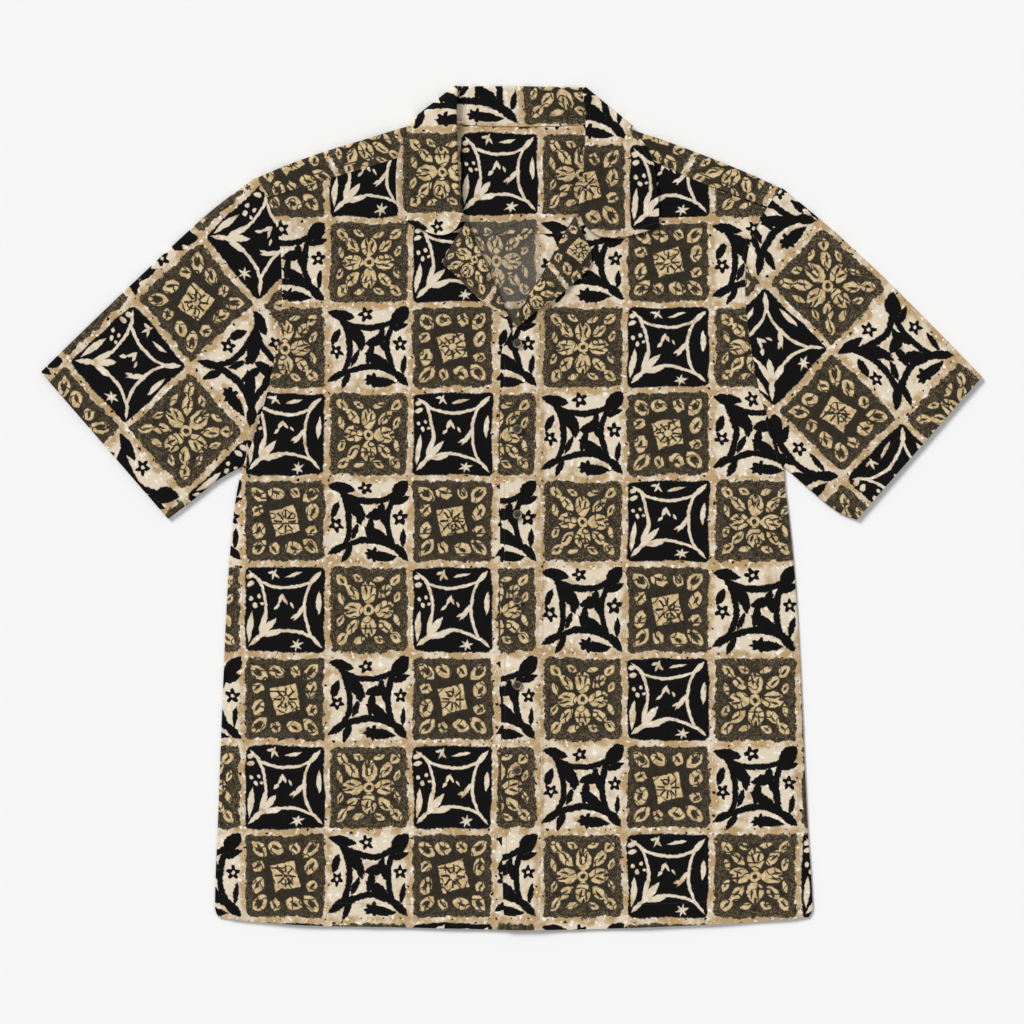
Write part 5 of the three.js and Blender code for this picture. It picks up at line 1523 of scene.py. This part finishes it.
def plain_floor(name, colours):
    """Matt pale paper."""
    n = Nodes(name)
    tone = n.noise(n.add("ShaderNodeTexCoord").outputs["Object"], 3.0, 2.0)
    colour = n.mix(tone, tuple(c * 0.985 for c in colours["floor"]), colours["floor"])
    return n.finish(Base_Color=colour, Roughness=0.95, Specular_IOR_Level=0.1)


# ---------------------------------------------------------------- buttons
def build_button():
    """A four-hole button with a raised rim, modelled at the origin."""
    bpy.ops.object.select_all(action="DESELECT")
    radius, thick, dish = (mm(f"button_{name}") / 1000 for name in ("radius", "thickness", "dish"))
    bpy.ops.mesh.primitive_cylinder_add(vertices=64, radius=radius, depth=thick, location=(0, 0, thick / 2))
    button = bpy.context.active_object
    bpy.ops.object.transform_apply(location=True, rotation=False, scale=False)
    bpy.ops.object.mode_set(mode="EDIT")
    bpy.ops.mesh.select_all(action="DESELECT")
    bpy.ops.mesh.select_mode(type="FACE")
    mesh = bmesh.from_edit_mesh(button.data)
    for face in mesh.faces:
        face.select = face.normal.z > 0.9  # the top
    bmesh.update_edit_mesh(button.data)
    bpy.ops.mesh.inset(thickness=mm("button_rim") / 1000)
    bpy.ops.mesh.inset(thickness=dish)
    bpy.ops.transform.translate(value=(0, 0, -dish))
    bpy.ops.object.mode_set(mode="OBJECT")
    bevel = button.modifiers.new("rounded", "BEVEL")
    bevel.width = BUTTON_EDGE / 1000
    bevel.segments = 3
    bevel.limit_method = "ANGLE"
    bevel.angle_limit = math.radians(HORN_EDGE_ANGLE)
    bpy.ops.object.modifier_apply(modifier=bevel.name)
    spread, bore = BUTTON_SPREAD / 1000, mm("button_hole") / 1000
    for x, y in [(-spread, -spread), (-spread, spread), (spread, -spread), (spread, spread)]:
        bpy.ops.object.select_all(action="DESELECT")
        bpy.ops.mesh.primitive_cylinder_add(vertices=16, radius=bore, depth=thick * 3, location=(x, y, 0))
        hole = bpy.context.active_object
        select_only(button)
        cut = button.modifiers.new("hole", "BOOLEAN")
        cut.operation = "DIFFERENCE"
        cut.object = hole
        bpy.ops.object.modifier_apply(modifier=cut.name)
        bpy.data.objects.remove(hole)
    bpy.ops.object.shade_smooth_by_angle(angle=math.radians(HORN_ANGLE))
    inner, outer = (radius * share for share in BUTTON_HIGHLIGHT_RING)
    for face in button.data.polygons:  # painted highlight: the rim's upward faces take a paler horn
        if inner < face.center.xy.length < outer and face.normal.z > HIGHLIGHT_SLOPE:
            face.material_index = 1
    return button


def button_thread():
    """Two bars of thread across the holes of one button, modelled at the origin."""
    base = mm("button_thickness") - mm("button_dish")
    return [
        [(x + strand, y * BUTTON_SPREAD, base + z) for y, z in THREAD_BAR]
        for x in (-BUTTON_SPREAD, BUTTON_SPREAD) for strand in THREAD_STRANDS
    ]


def button_places():
    row = BUTTON_ROW
    for i in range(row["count"]):
        y = row["top"] - i * row["pitch"]
        z = float(front_z("left", np.array(row["x"]), np.array(y))) + PLY / 2 + GAP
        yield i + 1, row["x"], y, z


# ---------------------------------------------------------------- settings
def length(name, description, default, low, high):
    """A size in millimetres, kept in metres."""
    return FloatProperty(name=name, description=description, default=default / 1000, min=low / 1000,
                         max=high / 1000, unit="LENGTH", precision=5)


def colour(name, description, code):
    return FloatVectorProperty(name=name, description=description, default=linear(code), size=3, min=0,
                               max=1, subtype="COLOR")


class CampShirtSizes(bpy.types.PropertyGroup):
    """Sizes that a user may change without a new pattern."""
    cloth: length("Cloth", "Thickness of one layer of the cotton", 0.6, 0.2, 0.9)
    collar_cloth: length("Collar", "Thickness of the collar with its lining", 1.3, 0.6, 1.5)
    hem_depth: length("Hem", "From the edge of a hem to its stitching", 21, 8, 40)
    stitch_pitch: length("Stitch pitch", "From one stitch to the next", 2.6, 1.5, 6)
    stitch_length: length("Stitch length", "Length of thread that shows in one stitch", 2.0, 1, 5)
    stitch_radius: length("Thread radius", "Half the thickness of the sewing thread", 0.13, 0.08, 0.3)
    button_radius: length("Button radius", "Half the width of a button", 4.6, 4, 4.8)
    button_thickness: length("Button thickness", "Height of a button at its rim", 2.0, 1.2, 2.1)
    button_rim: length("Button rim", "Width of a button's raised rim", 1.0, 0.5, 1.6)
    button_dish: length("Button dish", "Depth of the hollow in a button", 0.5, 0.2, 0.8)
    button_hole: length("Button hole", "Radius of each hole in a button", 0.5, 0.3, 0.7)
    floor_side: length("Floor", "Side of the plain floor that the shirt lies on", 6000, 2000, 12000)


class CampShirtColours(bpy.types.PropertyGroup):
    """Colours of the dyes, the buttons and the thread."""
    cream: colour("Cream", "Undyed cloth in the gutters and the pale tiles", "ddcfb8")
    tan: colour("Tan", "Stain in the undyed cloth", "b6986d")
    light: colour("Light", "Brightest threads of the undyed cloth", "f2eadc")
    beige: colour("Beige", "Leaves and petals on the olive tiles", "d8c197")
    beige_dark: colour("Dark beige", "Leaves and petals where the dye has run", "af9465")
    olive: colour("Olive", "Ground of the rosette and diamond tiles", "3f392e")
    olive_dark: colour("Dark olive", "The same ground where the dye is thick", "29251f")
    grain: colour("Grain", "Specks in the olive ground", "8c7758")
    black: colour("Black", "Ground of the dark tiles and lines of the pale ones", "0f0f10")
    black_light: colour("Worn black", "The same dye where it is thin", "161515")
    reverse: colour("Reverse", "Haze over the print on the inside of the cloth", "8a867e")
    thread: colour("Thread", "Sewing thread", "4b4336")
    horn: colour("Horn", "Body of the buttons", "1a1310")
    horn_light: colour("Light horn", "Streaks in the buttons", "42332a")
    # painted highlight: a paler horn on the upward faces of the buttons' rims
    horn_rim: colour("Horn rim", "Polished rim of the buttons", "8a755e")
    floor: colour("Floor", "Plain floor under the shirt", "f4f4f4")


def mm(name):
    return getattr(bpy.context.scene.camp_shirt_sizes, name) * 1000


def palette():
    group = bpy.context.scene.camp_shirt_colours
    return {name: tuple(getattr(group, name)) for name in CampShirtColours.__annotations__}


MAKERS = {
    "block_printed_cotton": lambda: printed_cotton("block_printed_cotton", palette()),
    "block_print_reverse": lambda: printed_cotton("block_print_reverse", palette(), reverse=True),
    "sewing_thread": lambda: sewing_thread("sewing_thread", palette()),
    "dark_horn": lambda: polished_horn("dark_horn", palette()["horn"], palette()["horn_light"]),
    # the buttons' rims take a painted highlight in this paler horn
    "rim_horn": lambda: polished_horn("rim_horn", palette()["horn_rim"], palette()["horn_light"]),
}


def dressed(piece, finishes, nodes=()):
    """Gives a piece its finishes and its place in the part."""
    for name in finishes:
        piece.data.materials.append(bpy.data.materials.get(name) or MAKERS[name]())
    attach(piece, "root")
    if nodes:
        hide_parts(*nodes)
    return piece


def cloth_piece(piece, node):
    dressed(piece, ("block_printed_cotton", "block_print_reverse"), [node])


# ---------------------------------------------------------------- operators
class SHIRT_OT_back(bpy.types.Operator):
    """Make the back panel, below the yoke seam"""
    bl_idname = "shirt.back"
    bl_label = "Back panel"

    def execute(self, context):
        cloth_piece(build_back(), "back")
        return {"FINISHED"}


class SHIRT_OT_yoke(bpy.types.Operator):
    """Make the two layers of the yoke, which fold forward over the shoulders"""
    bl_idname = "shirt.yoke"
    bl_label = "Yoke"

    def execute(self, context):
        cloth_piece(build_yoke(False), "yoke_outer")
        cloth_piece(build_yoke(True), "yoke_inner")
        return {"FINISHED"}


class SHIRT_OT_fronts(bpy.types.Operator):
    """Make the two fronts, the left one over the right one"""
    bl_idname = "shirt.fronts"
    bl_label = "Fronts"

    def execute(self, context):
        cloth_piece(build_front("right"), "front_right")
        cloth_piece(build_front("left"), "front_left")
        return {"FINISHED"}


class SHIRT_OT_lapels(bpy.types.Operator):
    """Make the two facings, rolled back as the lapels"""
    bl_idname = "shirt.lapels"
    bl_label = "Lapels"

    def execute(self, context):
        cloth_piece(build_facing("right"), "facing_right")
        cloth_piece(build_facing("left"), "facing_left")
        return {"FINISHED"}


class SHIRT_OT_sleeves(bpy.types.Operator):
    """Make the two sleeves, each a tube that lies flat"""
    bl_idname = "shirt.sleeves"
    bl_label = "Sleeves"

    def execute(self, context):
        for side in OUT:
            cloth_piece(build_sleeve(side), f"sleeve_{side}")
        return {"FINISHED"}


class SHIRT_OT_collar(bpy.types.Operator):
    """Make the collar, its stand, its roll, its leaves and its back fall"""
    bl_idname = "shirt.collar"
    bl_label = "Collar"

    def execute(self, context):
        cloth_piece(build_collar(), "collar")
        return {"FINISHED"}


class SHIRT_OT_buttons(bpy.types.Operator):
    """Make one button, copy it down the placket, and sew each one on"""
    bl_idname = "shirt.buttons"
    bl_label = "Buttons"

    def execute(self, context):
        button = build_button()
        bars = []
        for number, x, y, z in button_places():
            copy = bpy.data.objects.new(f"button_{number}_four_hole", button.data.copy())
            context.scene.collection.objects.link(copy)
            copy.data.transform(Matrix.Translation(((x + SHIFT[0]) / 1000, (y + SHIFT[1]) / 1000, z / 1000)))
            dressed(copy, ["dark_horn", "rim_horn"], [f"button_{number}"])
            bars += [[(x + px, y + py, z + pz) for px, py, pz in bar] for bar in button_thread()]
        bpy.data.objects.remove(button)
        dressed(build_threads("button_threads", bars, BUTTON_THREAD_RADIUS), ["sewing_thread"])
        return {"FINISHED"}


class SHIRT_OT_stitching(bpy.types.Operator):
    """Sew the seams, hems and edges with running stitches"""
    bl_idname = "shirt.stitching"
    bl_label = "Stitching"

    def execute(self, context):
        top_cuffs, low_cuffs = zip(*[cuff_stitches(side) for side in OUT])
        top = [*yoke_stitches(), *collar_stitches(), *top_cuffs]
        for side in OUT:
            top += front_stitches(side) + lapel_stitches(side)
        dressed(build_stitches("stitching_top", top), ["sewing_thread"])
        under = build_stitches("stitching_under", [*back_stitches(), *low_cuffs], up=-1.0)
        dressed(under, ["sewing_thread"])
        return {"FINISHED"}


class SHIRT_OT_stage(bpy.types.Operator):
    """Set the floor, the soft light and the camera"""
    bl_idname = "shirt.stage"
    bl_label = "Stage"

    def execute(self, context):
        bpy.ops.object.select_all(action="DESELECT")
        bpy.ops.mesh.primitive_plane_add(size=mm("floor_side") / 1000, location=(0, 0, FLOOR_Z))
        floor = context.active_object
        floor.name = "studio_floor"
        floor.data.materials.append(plain_floor("plain_floor", palette()))
        for name, place, spread, strength in LAMPS:
            light = bpy.data.lights.new(name, "SUN")
            light.angle = math.radians(spread)
            light.energy = strength
            lamp = bpy.data.objects.new(name, light)
            lamp.location = place
            lamp.rotation_euler = (-Vector(place)).to_track_quat("-Z", "Y").to_euler()
            context.scene.collection.objects.link(lamp)
        world = bpy.data.worlds.new("studio")
        world.use_nodes = True
        sky = world.node_tree.nodes["Background"]
        sky.inputs["Color"].default_value = (1, 1, 1, 1)
        sky.inputs["Strength"].default_value = ROOM_LIGHT
        context.scene.world = world
        context.scene.view_settings.view_transform = "Standard"
        camera = bpy.data.cameras.new("camera")
        camera.sensor_width = SENSOR
        camera.lens = SENSOR * CAMERA_HEIGHT / FRAME_SIDE
        eye = bpy.data.objects.new("camera", camera)
        eye.location = (*FRAME_MIDDLE, CAMERA_HEIGHT)
        context.scene.collection.objects.link(eye)
        context.scene.camera = eye
        return {"FINISHED"}


class SHIRT_PT_sidebar(bpy.types.Panel):
    """Lists the shirt's settings and its pieces"""
    bl_idname = "SHIRT_PT_sidebar"
    bl_label = "Camp shirt"
    bl_space_type = "VIEW_3D"
    bl_region_type = "UI"
    bl_category = "Shirt"

    def draw(self, context):
        scene = context.scene
        for title, group in (("Sizes", scene.camp_shirt_sizes), ("Colours", scene.camp_shirt_colours)):
            box = self.layout.box()
            box.label(text=title)
            for name in type(group).__annotations__:
                box.prop(group, name)
        for operator in OPERATORS:
            self.layout.operator(operator.bl_idname)


GROUPS = (CampShirtSizes, CampShirtColours)
OPERATORS = (SHIRT_OT_stage, SHIRT_OT_back, SHIRT_OT_yoke, SHIRT_OT_fronts, SHIRT_OT_lapels, SHIRT_OT_sleeves,
             SHIRT_OT_collar, SHIRT_OT_buttons, SHIRT_OT_stitching)


def register():
    for kind in (*GROUPS, *OPERATORS, SHIRT_PT_sidebar):
        bpy.utils.register_class(kind)
    bpy.types.Scene.camp_shirt_sizes = PointerProperty(type=CampShirtSizes)
    bpy.types.Scene.camp_shirt_colours = PointerProperty(type=CampShirtColours)


def unregister():
    del bpy.types.Scene.camp_shirt_colours
    del bpy.types.Scene.camp_shirt_sizes
    for kind in reversed((*GROUPS, *OPERATORS, SHIRT_PT_sidebar)):
        bpy.utils.unregister_class(kind)


def main():
    register()
    bpy.ops.shirt.stage()
    bpy.ops.shirt.back()
    bpy.ops.shirt.yoke()
    bpy.ops.shirt.fronts()
    bpy.ops.shirt.lapels()
    bpy.ops.shirt.sleeves()
    bpy.ops.shirt.collar()
    bpy.ops.shirt.buttons()
    bpy.ops.shirt.stitching()


if __name__ == "__main__":
    main()
